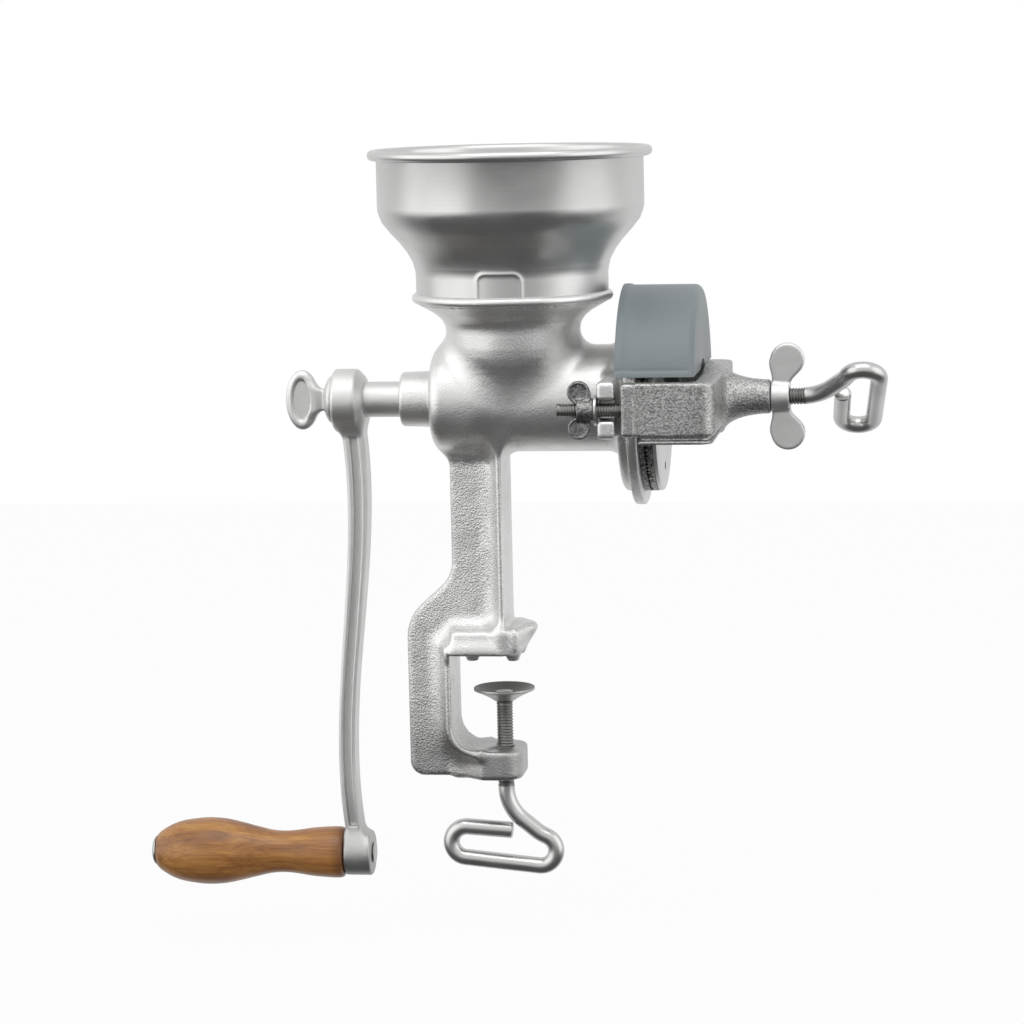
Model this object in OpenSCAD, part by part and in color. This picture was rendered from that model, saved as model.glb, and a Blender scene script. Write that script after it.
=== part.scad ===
/* [Shaft and barrel] */
// Height of the shaft axis above the feet of the upper jaw
shaft_rise = 124.5; // [120:0.5:132]
// Radius of the crank shaft
shaft_r = 8.45; // [7.5:0.05:9]
// Radial running clearance of shafts, screws and the ball
running_clear = 0.05; // [0.02:0.01:0.1]
// Radius of the barrel
barrel_r = 25.2; // [24:0.1:27]
// Wall of the barrel
barrel_wall = 5; // [4:0.1:6]
// Length of the barrel from its closed end to the burr flange
barrel_len = 91.2; // [88:0.2:96]
// Distance of the barrel's closed end from the clamp screw
barrel_back = 30.4; // [28:0.2:32]
// Rounding of the barrel's closed end
barrel_corner_r = 6; // [3:0.5:8]
// Radius of the bearing boss
boss_r = 13.2; // [12:0.1:15]
// Length of the bearing boss
boss_len = 15.6; // [12:0.2:20]
// Bare shaft between the boss and the crank
shaft_show = 17.6; // [12:0.2:24]

/* [Burr flange and ears] */
// How far the flange behind the face disc stays inside it
flange_set = 6.5; // [3:0.5:9]
// Thickness of that flange
flange_t = 5.2; // [4:0.1:7]
// Fillet between barrel and flange
flange_fillet_r = 8; // [4:0.5:10]
// How far the face disc stands out round the burrs
face_margin = 6.5; // [4:0.5:8]
// Thickness of the face disc
face_disc_t = 4.9; // [4:0.1:6]
// How far the ears reach past the bolts' axes
ear_past = 4; // [3.5:0.5:6]
// Distance of the ears from the face disc along the shaft
ear_set = 3.475; // [2:0.005:5]
// Thickness of the ears along the bolts
ear_t = 8.5; // [6:0.1:9]
// Height of the ears
ear_h = 26.4; // [24:0.2:30]
// Height of the open slot in the ears
ear_slot_h = 9.7; // [8:0.1:11]

/* [Throat and hopper] */
// Offset of the hopper axis from the clamp screw towards the burrs
hopper_x = 8.2; // [6:0.5:12]
// Height of the collar's top above the shaft axis
collar_rise = 51; // [49:0.5:54]
// Wall of the collar round the hopper's neck
collar_wall = 1.7; // [1.5:0.1:3]
// Height of that bead
collar_bead_h = 4.6; // [3:0.1:6]
// Depth of the socket that the hopper sits in
socket_depth = 4; // [3:0.5:4.5]
// Radius of the throat's waist
waist_r = 31.7; // [31:0.1:34]
// Height of the waist above the shaft axis
waist_rise = 31.5; // [29:0.5:34]
// Radius of the throat's bore where it meets the barrel
throat_bore_r = 18; // [15:0.5:19]
// Thickness of the hopper's sheet
sheet_t = 0.9; // [0.6:0.1:1.2]
// Outer radius of the hopper's neck
neck_r = 45.5; // [44:0.1:45.6]
// Height of the neck above the collar's top
neck_h = 9.5; // [6:0.5:12]
// Outer radius of the hopper's bowl
bowl_r = 63; // [60:0.5:66]
// Height of the slope between neck and bowl
slope_h = 31; // [28:0.5:36]
// Height of the straight bowl
bowl_h = 24.7; // [20:0.5:30]
// Radius of the roll's own section
rim_bead_r = 2.4; // [1.8:0.1:3]
// Width of the pressed tabs on the neck
tab_w = 20.5; // [16:0.5:24]
// Height of the pressed tabs
tab_h = 11.5; // [9:0.5:14]

/* [C frame] */
// Distance of the column's rib face from the clamp screw
column_front = 3.1; // [2:0.1:5]
// Distance of the column's back edge from the clamp screw
column_back = 23.5; // [22:0.5:26]
// Distance of the C frame's back edge from the clamp screw
stem_back = 46; // [44:0.5:50]
// Distance of the C frame's inner face from the clamp screw
throat_depth = 23.6; // [22:0.2:26]
// Height where the back edge leaves the column
shoulder_rise = 46.8; // [44:0.2:50]
// Slope of the shoulder below the horizontal, in degrees
shoulder_slope = 43; // [38:1:48]
// Radius where the shoulder leaves the column
shoulder_top_r = 16; // [11:1:20]
// Radius where the shoulder meets the C frame's back
shoulder_low_r = 22; // [16:1:24]
// Thickness of the web
web_t = 11; // [8:0.5:13]
// Width of the ribs across the frame
rib_w = 34; // [31:0.5:38]
// Thickness of the ribs at their edges
rib_t = 2.5; // [2:0.1:3.5]
// Height of the jaw's underside above its feet
foot_h = 3.4; // [2.5:0.1:4.5]
// Depth of the clamp opening below the feet
opening_h = 43.5; // [40:0.5:48]
// Radius in the corner of the clamp opening
opening_corner_r = 12; // [8:0.5:14]
// Height of the lower arm
arm_h = 14; // [14:0.5:17]
// Radius of the lower arm's end in plan
arm_end_r = 9.5; // [8.5:0.1:11]
// Reach of the jaw's nose from the clamp screw
nose_reach = 16.4; // [16:0.5:20]
// Height of the nose's top above the feet
nose_rise = 17; // [16:0.5:20]
// Radius of the nose's end in plan
nose_end_r = 7.4; // [6:0.1:9]

/* [Burrs and drive] */
// Radius of both burrs
burr_r = 44; // [42:0.5:45]
// How much wider than the barrel's bore the hole in both burrs is, in radius
burr_hole_clear = 0.8; // [0.3:0.1:3]
// Thickness of the fixed burr
fixed_burr_t = 2.9; // [2.5:0.1:4]
// Gap between the burrs at the finest setting
burr_gap = 0.4; // [0.3:0.05:0.8]
// Thickness of the turning burr
rotating_burr_t = 3; // [2.5:0.1:4]
// How far the holder's disc stays inside the burr's rim
holder_set = 0.2; // [0:0.1:4]
// Thickness of the holder's disc
holder_t = 2.2; // [2:0.1:3.5]
// Radius of the holder's hub
holder_hub_r = 11; // [10.5:0.1:13]
// Length of that hub
holder_hub_len = 8; // [6.6:0.1:8]
// Radius of the cross pin
pin_r = 2; // [1.5:0.1:2.3]
// Number of screws in each burr
burr_screws = 3; // [2:1:4]
// Radius of the burr screws' shanks
burr_screw_r = 2; // [1.5:0.1:2.5]
// Radius of their countersunk heads
burr_screw_head_r = 3.6; // [3:0.1:4]
// Gap between the worm's flight and the barrel's bore
worm_clear = 0.6; // [0.5:0.1:1.2]
// Turns of the worm's flight
worm_turns = 3.5; // [2:0.5:5]
// Radius of the thrust ball
ball_r = 3.175; // [2.8:0.025:3.4]

/* [Yoke] */
// Gap between the face disc and the yoke's arms
arm_gap = 2.5; // [2:0.1:4]
// Thickness of the arms
yoke_arm_t = 7; // [6:0.1:7.5]
// Height of the arms
yoke_h = 24.7; // [22:0.1:27]
// Distance of the cross bar's outer face from the face disc
yoke_depth = 36.9; // [36:0.1:40]
// Thickness of the cross bar
bridge_t = 9.8; // [8:0.1:10.5]
// Radius of the yoke's corners
yoke_corner_r = 9; // [6:0.5:10]
// Thickness of the end blocks along the bolts
end_block_t = 6.4; // [5:0.1:7]
// How far the end blocks stand out from the arms
end_block_proud = 1.2; // [0.8:0.1:2]
// Gap between ears and end blocks
ear_gap = 2.5; // [1.5:0.1:4]
// Radius of the bell in the middle of the bridge
bell_r = 16.2; // [15.5:0.1:18]
// Radius of the nose's tip
yoke_nose_r = 8; // [7:0.1:9]
// Length of the nose
yoke_nose_len = 21.8; // [18:0.1:26]
// Height of the ledge under the arms
ledge_t = 1.7; // [1.2:0.1:2.5]
// Gap between the arm and that ledge
ledge_gap = 1.8; // [1:0.1:3]

/* [Bolts and nuts] */
// Radius of the yoke bolts
bolt_r = 3.175; // [2.8:0.025:3.5]
// Length of bolt that shows past the small wing nuts
bolt_show = 9.7; // [6:0.1:14]
// Thickness of the washers
washer_t = 1.1; // [0.8:0.1:1.6]
// Radius of the washers
washer_r = 7; // [6:0.1:8]
// Length of the small wing nuts' hubs
small_nut_len = 7.8; // [6:0.1:10]
// Radius of those hubs
small_nut_r = 5.4; // [5:0.1:7]
// Radius of their wings' round ends
small_wing_r = 5.2; // [4:0.1:6]
// Span of their wings
small_wing_span = 27; // [24:0.5:32]
// Radius of the adjusting screw and the clamp screw
rod_r = 3.97; // [3.8:0.01:4.2]
// Length of the lock nut's hub
lock_nut_len = 8.6; // [7:0.1:11]
// Radius of that hub
lock_nut_r = 7; // [6.2:0.1:8]
// Radius of its wings' round ends
lock_wing_r = 8; // [6:0.1:9]
// Span of its wings
lock_wing_span = 50.4; // [44:0.5:56]

/* [Guard] */
// Thickness of the guard's shell
guard_t = 2; // [1.2:0.1:2.5]
// Gap between the guard and the face disc
guard_gap = 0.7; // [0.3:0.05:1]
// Width of the guard along the shaft
guard_w = 36.5; // [34:0.1:37]
// Rounding of its closed end's edge
guard_corner_r = 3.5; // [3:0.5:7]
// Width of the bead on its open edge
guard_bead_w = 3.6; // [2:0.1:5]
// Height of that bead
guard_bead_t = 0.6; // [0.6:0.1:1.5]
// Gap between the yoke's arms and the guard's lower edge
guard_rise_gap = 2.45; // [1:0.05:5]
// How far the guard laps over the flange behind the face disc, past its bead
guard_lap = 1; // [0.5:0.5:3]
// Gap between the guard's end wall and the yoke's bell
guard_bell_gap = 2; // [1:0.5:4]

/* [Crank] */
// Distance between the shaft axis and the grip's axis
crank_radius = 221.3; // [200:1:240]
// Length of the crank's upper hub
crank_hub_len = 15.3; // [12:0.1:18]
// Radius of that hub
crank_hub_r = 14.7; // [13.5:0.1:17]
// Width of the arm at its top, seen from the front
arm_top_w = 10.8; // [10:0.1:14]
// Width of the arm at its bottom, seen from the front
arm_low_w = 8; // [8:0.1:12]
// Bow of the arm towards the mill above and away from it below
arm_bow = 14.8; // [8:0.2:18]
// Depth of the arm front to back
arm_depth = 13; // [12.5:0.5:16]
// Width of the groove in its front and back
arm_groove_w = 3.6; // [2:0.1:4]
// Depth of that groove
arm_groove_d = 3.5; // [2:0.1:4.5]
// Radius of the crank's lower boss
crank_boss_r = 11; // [9:0.1:13]
// Length of that boss
crank_boss_len = 13.3; // [10:0.1:15]
// How far the lower boss stands back from the hub
crank_set = 0.6; // [0:0.1:3]
// Radius of the thumb screw's collar
thumb_collar_r = 11.6; // [9:0.1:13]
// Thickness of that collar
thumb_collar_t = 4.2; // [3:0.1:6]
// Length of the thumb tab
thumb_tab_len = 19; // [15:0.5:24]
// Height of the thumb tab
thumb_tab_h = 28.4; // [22:0.2:34]
// Width of its oval, along the shaft
thumb_tab_w = 16; // [12:0.2:18]
// Thickness of the tab
thumb_tab_t = 5; // [3.5:0.1:6]
// Depth of the hollows in its faces
thumb_hollow = 1; // [0.5:0.1:1.5]
// Length of the thumb screw's shank
thumb_shank_len = 14; // [10:0.5:20]

/* [Grip] */
// Length of the wooden grip
grip_len = 93.6; // [80:0.2:110]
// Largest radius of the grip
grip_r = 16.3; // [14:0.1:18]
// Radius of its waist
grip_waist_r = 10.1; // [9:0.1:13]
// Radius of the swelling next to the crank
grip_heel_r = 12.5; // [11:0.1:15]
// Radius of the grip's bolt
handle_bolt_r = 3.7; // [3:0.1:4.5]
// Radius of the bolt's domed head
dome_r = 7.2; // [6:0.1:9]
// Height of that head
dome_h = 2.4; // [1.5:0.1:4]

/* [Clamp screw] */
// Radius of the clamp pad
pad_r = 14.7; // [13:0.1:16]
// Height of the pad's cone
pad_h = 6.5; // [5:0.1:8]
// Thickness of the pad's rim
pad_t = 1.4; // [1:0.1:2]
// Distance from the jaw's feet down to the pad's rim, as shown
pad_drop = 14.6; // [10:0.1:20]
// Length of the clamp screw below the lower arm before its bend
clamp_shank = 6.5; // [4:0.5:12]
// Length of the adjusting screw past the lock nut before its bend
adjust_shank = 4; // [3:0.5:12]
// Radius of the bend that leaves the rod's axis
bend_r = 20; // [16:0.5:24]
// Length of straight rod between that bend and the loop
loop_lead = 8.6; // [7:0.1:12]
// Radius of the loop's ends
loop_r = 7.6; // [7:0.1:9]
// Length of the loop's long bar
loop_bar = 36; // [26:0.5:40]
// Length of the loop's end bar
loop_end_bar = 22; // [16:0.5:24]
// Turn of the adjusting screw's loop about the shaft axis
adjust_turn = 234; // [0:1:359]

/* [Hidden] */
$fn = 96;
over = 1;
// Width of the shaft's square end as a share of its radius
square_share = 1.42;
// How far the rolled rim's middle stands past the bowl, as a share of the roll's radius
rim_share = 0.75;
// Radius of the yoke's nose at its root, as a share of the bell's
nose_root_share = 0.864;
// Places along the grip of its belly, waist and heel, as shares of its length
grip_shares = [0.283, 0.66, 0.95];
// Where the bows of the crank's arm start, as shares of the hub's and the boss's length
arm_end_shares = [0.56, 0.5];
// Straight stretch between the bends of a loop, as a share of the rod's radius
loop_step_share = 0.25;
seat_gap = 0.3;
casting = [0.74, 0.74, 0.74];
machined = [0.66, 0.67, 0.68];
plated = [0.8, 0.8, 0.78];

// Places along the shaft, worked out from the clamp screw's axis at zero
barrel_x = -barrel_back;
boss_x = barrel_x - boss_len;
crank_x = boss_x - shaft_show;
crank_end_x = crank_x - crank_hub_len;
flange_x = barrel_x + barrel_len;
disc_x = flange_x + flange_t;
face_x = disc_x + face_disc_t;
rotating_x = face_x + fixed_burr_t + burr_gap;
holder_x = rotating_x + rotating_burr_t;
hub_x = holder_x + holder_t;
shaft_end_x = hub_x + holder_hub_len + seat_gap;
ball_x = shaft_end_x + ball_r / 6;
screw_tip_x = ball_x + ball_r / 4;
pin_x = hub_x + pin_r + seat_gap;
ear_x = disc_x - ear_set - ear_t;
block_x = ear_x + ear_t + ear_gap;
arm_x = block_x + end_block_t;
bridge_x = face_x + yoke_depth - bridge_t;
nose_tip_x = face_x + yoke_depth + yoke_nose_len;
nut_x = nose_tip_x + seat_gap;
bore_r = barrel_r - barrel_wall;
square_w = shaft_r * square_share;
collar_r = neck_r + seat_gap + collar_wall;
face_disc_r = burr_r + face_margin;
flange_r = face_disc_r - flange_set;
burr_hole_r = bore_r + burr_hole_clear;
burr_screw_circle_r = (burr_r + burr_hole_r) / 2;
holder_r = burr_r - holder_set;
yoke_in = face_disc_r + arm_gap;
yoke_reach = yoke_in + yoke_arm_t;
bolt_offset = yoke_in + yoke_arm_t / 2;
ear_reach = bolt_offset + ear_past;
yoke_nose_root_r = bell_r * nose_root_share;
guard_rise = yoke_h / 2 + guard_rise_gap;
fillet_r = (rib_w - web_t) / 2;
jaw_t = rib_t + fillet_r;
arm_z = -opening_h - arm_h;

// Points of an arc round c from angle a to angle b, n steps
function arc(c, r, a, b, n = 8) =
    [for (i = [0 : n]) c + r * [cos(a + (b - a) * i / n), sin(a + (b - a) * i / n)]];

// Points of a cubic curve through p and s, drawn to q and t
function curve(p, q, t, s, n = 12) =
    [for (i = [0 : n]) let (k = i / n)
        pow(1 - k, 3) * p + 3 * k * pow(1 - k, 2) * q + 3 * k * k * (1 - k) * t + k * k * k * s];

// Stands a child that points up at x on the shaft's axis, pointing to the burrs
module along_shaft(x) {
    translate([x, 0, shaft_rise]) rotate([0, 90, 0]) children();
}

// Plate in the vertical plane of shaft and clamp screw, w wide across it
module upright(w) {
    translate([0, w / 2, 0]) rotate([90, 0, 0]) linear_extrude(w) children();
}

// Half section of the ribbed frame: a rib face at zero, filleted into the web
module rib_section() {
    low = arc([rib_t + fillet_r, -rib_w / 2], fillet_r, 180, 90);
    high = arc([rib_t + fillet_r, rib_w / 2], fillet_r, 270, 180);
    polygon(concat([[0, rib_w / 2], [0, -rib_w / 2]], low, high));
}

// Outline of the web: column, shoulder and back of the C frame
module web_outline() {
    top_c = [-column_back - shoulder_top_r, shoulder_rise];
    leave = top_c + shoulder_top_r * [cos(90 - shoulder_slope), -sin(90 - shoulder_slope)];
    low_x = -stem_back + shoulder_low_r * (1 - cos(90 - shoulder_slope));
    low_z = leave[1] - (leave[0] - low_x) * tan(shoulder_slope);
    low_c = [-stem_back + shoulder_low_r, low_z - shoulder_low_r * sin(90 - shoulder_slope)];
    corner_r = arm_h / 2;
    inner_c = [-throat_depth + opening_corner_r, -opening_h + opening_corner_r];
    polygon(concat(
        [[column_front - rib_t, shaft_rise], [-column_back, shaft_rise]],
        arc(top_c, shoulder_top_r, 0, shoulder_slope - 90),
        arc(low_c, shoulder_low_r, 90 + shoulder_slope, 180),
        arc([-stem_back + corner_r, arm_z + corner_r], corner_r, 180, 270),
        [[0, arm_z], [0, -opening_h]],
        arc(inner_c, opening_corner_r, 270, 180),
        [[-throat_depth, foot_h], [column_front - rib_t, foot_h]]));
}

module frame_ribs() {
    translate([column_front, 0, foot_h]) mirror([1, 0, 0])
        linear_extrude(shaft_rise - barrel_r - foot_h + barrel_wall) rib_section();
    translate([-throat_depth, 0, -opening_h + opening_corner_r]) mirror([1, 0, 0])
        linear_extrude(opening_h - opening_corner_r + foot_h + jaw_t) rib_section();
    translate([-throat_depth + opening_corner_r, 0, -opening_h + opening_corner_r])
        rotate([90, 0, 0]) rotate([0, 0, 180]) rotate_extrude(angle = 90)
            translate([opening_corner_r, 0]) rib_section();
    translate([-throat_depth - rib_t, 0, foot_h]) rotate([0, -90, 0]) mirror([0, 0, 1])
        linear_extrude(throat_depth + rib_t + column_front) rib_section();
}

// Lower arm, widening in plan from the web to its round end
module lower_arm() {
    end_y = rib_w / 2 - arm_end_r;
    translate([0, 0, arm_z]) linear_extrude(arm_h)
        polygon(concat([[-throat_depth, web_t / 2], [-throat_depth, -web_t / 2],
            [-arm_end_r, -rib_w / 2]],
            arc([0, -end_y], arm_end_r, -90, 0), arc([0, end_y], arm_end_r, 0, 90),
            [[-arm_end_r, rib_w / 2]]));
}

module jaw_nose() {
    tip_r = foot_h * 1.3;
    intersection() {
        upright(rib_w) polygon(concat([[0, foot_h], [0, nose_rise]],
            arc([nose_reach - tip_r, nose_rise - tip_r], tip_r, 90, -30),
            [[column_front + foot_h * 1.6, foot_h]]));
        linear_extrude(nose_rise + over) polygon(concat([[-over, rib_w / 2],
            [-over, -rib_w / 2], [column_front, -rib_w / 2]],
            arc([nose_reach - nose_end_r, 0], nose_end_r, -60, 60),
            [[column_front, rib_w / 2]]));
    }
}

module jaw_feet() {
    foot_y = rib_w / 2 - foot_h * 1.9;
    for (x = [column_front + foot_h * 0.9, -throat_depth + foot_h * 3], y = [-foot_y, foot_y])
        translate([x, y, 0]) cylinder(h = foot_h + rib_t / 2, r1 = foot_h * 0.8, r2 = foot_h * 1.4);
}

module barrel() {
    along_shaft(barrel_x) rotate_extrude() polygon(concat([[0, 0]],
        arc([barrel_r - barrel_corner_r, barrel_corner_r], barrel_corner_r, 270, 360),
        arc([barrel_r + flange_fillet_r, barrel_len - flange_fillet_r], flange_fillet_r, 180, 90),
        arc([flange_r - flange_t / 2, barrel_len + flange_t / 2], flange_t / 2, 270, 360),
        [[flange_r, barrel_len + flange_t], [face_disc_r, barrel_len + flange_t],
            [face_disc_r, barrel_len + flange_t + face_disc_t],
            [0, barrel_len + flange_t + face_disc_t]]));
    along_shaft(boss_x) cylinder(h = boss_len + barrel_corner_r, r = boss_r);
}

module throat() {
    bead = collar_bead_h / 2;
    top = collar_rise;
    translate([hopper_x, 0, shaft_rise]) rotate_extrude() polygon(concat([[0, 0]],
        curve([barrel_r * 0.7, 0], [barrel_r * 1.1, barrel_r * 0.6],
            [waist_r, waist_rise - barrel_r * 0.5], [waist_r, waist_rise], 8),
        curve([waist_r, waist_rise], [waist_r, waist_rise + bead * 3.8],
            [collar_r - bead * 4.4, top - bead * 3.9], [collar_r - bead, top - bead * 2], 8),
        arc([collar_r - bead, top - bead], bead, -90, 90),
        [[0, top]]));
}

module ears() {
    slot_end = bolt_offset - ear_slot_h / 2;
    gusset_end = bolt_offset - washer_r - washer_t;
    for (side = [-1, 1]) difference() {
        union() {
            translate([ear_x, side > 0 ? barrel_r : -ear_reach, shaft_rise - ear_h / 2])
                cube([ear_t, ear_reach - barrel_r, ear_h]);
            translate([0, 0, shaft_rise - ear_slot_h]) linear_extrude(2 * ear_slot_h)
                polygon([[ear_x - ear_t * 1.5, side * bore_r], [ear_x, side * gusset_end],
                    [disc_x, side * flange_r], [disc_x, side * bore_r]]);
        }
        translate([ear_x - over, side > 0 ? slot_end : -ear_reach - over,
            shaft_rise - ear_slot_h / 2])
            cube([ear_t + 2 * over, ear_reach - slot_end + over, ear_slot_h]);
    }
}

module body_bores() {
    socket_r = neck_r + seat_gap;
    along_shaft(barrel_x + barrel_corner_r) cylinder(h = face_x - barrel_x, r = bore_r);
    along_shaft(boss_x - over) cylinder(h = boss_len + barrel_corner_r + 2 * over,
        r = shaft_r + running_clear);
    translate([hopper_x, 0, shaft_rise]) cylinder(h = waist_rise, r = throat_bore_r);
    translate([hopper_x, 0, shaft_rise + waist_rise - barrel_wall])
        cylinder(h = collar_rise - socket_depth - waist_rise + barrel_wall + over / 10,
            r1 = throat_bore_r, r2 = socket_r - barrel_wall * 1.6);
    translate([hopper_x, 0, shaft_rise + collar_rise - socket_depth])
        cylinder(h = socket_depth + over, r = socket_r);
    translate([0, 0, arm_z - over]) cylinder(h = arm_h + 2 * over, r = rod_r + running_clear);
    for (i = [1 : burr_screws]) along_shaft(disc_x - flange_t / 2)
        rotate([0, 0, i * 360 / burr_screws]) translate([burr_screw_circle_r, 0, 0])
            cylinder(h = flange_t + face_disc_t, r = burr_screw_r + running_clear);
}

module body() color(casting) difference() {
    union() {
        upright(web_t) web_outline();
        frame_ribs();
        lower_arm();
        jaw_nose();
        jaw_feet();
        barrel();
        throat();
        ears();
    }
    body_bores();
}

module hopper() color(plated) {
    bottom = -socket_depth + seat_gap;
    wall = concat([[neck_r, bottom]],
        curve([neck_r, neck_h], [neck_r, neck_h + slope_h * 0.3],
            [bowl_r, neck_h + slope_h * 0.72], [bowl_r, neck_h + slope_h]),
        [[bowl_r, neck_h + slope_h + bowl_h]]);
    inner = [for (i = [len(wall) - 1 : -1 : 0]) wall[i] - [sheet_t, 0]];
    translate([hopper_x, 0, shaft_rise + collar_rise]) {
        rotate_extrude() polygon(concat(wall, inner));
        rotate_extrude() translate([bowl_r + rim_bead_r * rim_share, neck_h + slope_h + bowl_h])
            circle(r = rim_bead_r);
        for (side = [-1, 1]) intersection() {
            difference() {
                cylinder(h = tab_h + over, r = neck_r + sheet_t);
                translate([0, 0, -over]) cylinder(h = tab_h + 3 * over, r = neck_r - sheet_t / 2);
            }
            translate([0, side > 0 ? neck_r + 2 * sheet_t : 0, seat_gap]) rotate([90, 0, 0])
                linear_extrude(neck_r + 2 * sheet_t) polygon(concat(
                    [[-tab_w / 2, 0], [tab_w / 2, 0]],
                    arc([tab_w / 2 - tab_h / 3, tab_h * 2 / 3], tab_h / 3, 0, 90),
                    arc([-tab_w / 2 + tab_h / 3, tab_h * 2 / 3], tab_h / 3, 90, 180)));
        }
    }
}

// Feed worm and shaft: square end, bearing, tapered core, flight, cup for the ball
module auger() color(machined) {
    flight_r = bore_r - worm_clear;
    flight_x = barrel_x + barrel_corner_r + seat_gap + over;
    flight_len = face_x + fixed_burr_t - flight_x;
    core_r = shaft_r * 1.2;
    difference() {
        union() {
            intersection() {
                along_shaft(crank_end_x + seat_gap) cylinder(h = crank_hub_len, r = shaft_r);
                translate([crank_end_x, -square_w / 2, shaft_rise - square_w / 2])
                    cube([crank_hub_len + over, square_w, square_w]);
            }
            along_shaft(crank_x) cylinder(h = shaft_end_x - crank_x, r = shaft_r);
            along_shaft(flight_x) cylinder(h = flight_len, r = core_r);
            along_shaft(flight_x) linear_extrude(flight_len, twist = 360 * worm_turns,
                slices = 14 * worm_turns)
                polygon(concat([[0, -shaft_r / 2]], arc([0, 0], flight_r, -9, 9, 3),
                    [[0, shaft_r / 2]]));
        }
        along_shaft(crank_end_x) cylinder(h = thumb_shank_len + over, r = rod_r + running_clear);
        translate([ball_x, 0, shaft_rise]) sphere(r = ball_r + running_clear);
        translate([pin_x, 0, shaft_rise - holder_hub_r])
            cylinder(h = 2 * holder_hub_r, r = pin_r + running_clear);
    }
}

module drive_pin() color(plated)
    translate([pin_x, 0, shaft_rise - holder_hub_r]) cylinder(h = 2 * holder_hub_r, r = pin_r);

module burr_holder() color(casting) difference() {
    union() {
        along_shaft(holder_x) cylinder(h = holder_t, r = holder_r);
        along_shaft(hub_x) cylinder(h = holder_hub_len, r = holder_hub_r);
    }
    along_shaft(holder_x - over) cylinder(h = holder_t + holder_hub_len + 2 * over,
        r = shaft_r + running_clear);
    translate([pin_x, 0, shaft_rise - holder_hub_r - over])
        cylinder(h = 2 * (holder_hub_r + over), r = pin_r + running_clear);
    for (i = [1 : burr_screws]) along_shaft(holder_x - over)
        rotate([0, 0, i * 360 / burr_screws]) translate([burr_screw_circle_r, 0, 0])
            cylinder(h = holder_t + 2 * over, r = burr_screw_r + running_clear);
}

// Burr plate t thick, face at zero, with teeth round its rim and a seat for each screw
module burr_plate(t) {
    teeth = 36;
    tooth_d = t / 4;
    difference() {
        cylinder(h = t, r = burr_r);
        translate([0, 0, -over]) cylinder(h = t + 2 * over, r = burr_hole_r);
        for (i = [1 : burr_screws]) rotate([0, 0, i * 360 / burr_screws])
            translate([burr_screw_circle_r, 0, 0]) {
                translate([0, 0, -over]) cylinder(h = t + 2 * over, r = burr_screw_r + running_clear);
                cylinder(h = t / 2, r1 = burr_screw_head_r, r2 = burr_screw_r + running_clear);
            }
        for (i = [1 : teeth]) rotate([0, 0, i * 360 / teeth])
            translate([burr_r, 0, 0]) rotate([0, 0, 45])
                cube([tooth_d * 2, tooth_d * 2, t], center = true);
    }
}

module rotating_burr() color(casting) along_shaft(rotating_x) burr_plate(rotating_burr_t);

module fixed_burr() color(casting)
    along_shaft(rotating_x - burr_gap) mirror([0, 0, 1]) burr_plate(fixed_burr_t);

// Countersunk screws that sit in a burr plate t thick and run grip past it
module burr_screw_set(t, grip) {
    for (i = [1 : burr_screws]) rotate([0, 0, i * 360 / burr_screws])
        translate([burr_screw_circle_r, 0, 0]) {
            cylinder(h = t / 2, r1 = burr_screw_head_r - running_clear, r2 = burr_screw_r);
            cylinder(h = t + grip, r = burr_screw_r);
        }
}

module rotating_burr_screws() color(plated)
    along_shaft(rotating_x) burr_screw_set(rotating_burr_t, holder_t);

module fixed_burr_screws() color(plated)
    along_shaft(rotating_x - burr_gap) mirror([0, 0, 1])
        burr_screw_set(fixed_burr_t, face_disc_t);

// One arm of the yoke in plan, on the side given, from end block to bridge
module yoke_plan() {
    out = yoke_reach;
    in = yoke_in;
    end = face_x + yoke_depth;
    inner_r = yoke_corner_r - yoke_arm_t / 2;
    difference() {
        polygon(concat([[arm_x, -out]],
            arc([end - yoke_corner_r, -out + yoke_corner_r], yoke_corner_r, -90, 0),
            arc([end - yoke_corner_r, out - yoke_corner_r], yoke_corner_r, 0, 90),
            [[arm_x, out]]));
        polygon(concat([[arm_x - over, -in]],
            arc([bridge_x - inner_r, -in + inner_r], inner_r, -90, 0),
            arc([bridge_x - inner_r, in - inner_r], inner_r, 0, 90),
            [[arm_x - over, in]]));
    }
}

module yoke_side(side) {
    block_reach = yoke_reach + end_block_proud;
    block_in = face_disc_r + end_block_proud;
    pad_in = burr_r + arm_gap * 0.8;
    translate([0, 0, shaft_rise]) mirror([0, side < 0 ? 1 : 0, 0]) {
        difference() {
            union() {
                translate([block_x, block_in, -yoke_h / 2])
                    cube([end_block_t, block_reach - block_in, yoke_h]);
                translate([arm_x - over, yoke_in, -yoke_h / 2])
                    cube([2 * over, yoke_arm_t, yoke_h]);
            }
            translate([block_x - over, bolt_offset, 0]) rotate([0, 90, 0])
                cylinder(h = end_block_t + 2 * over, r = bolt_r + running_clear);
        }
        translate([face_x, pad_in, -ear_slot_h])
            cube([end_block_t, yoke_in + over - pad_in, 2 * ear_slot_h]);
    }
}

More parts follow.
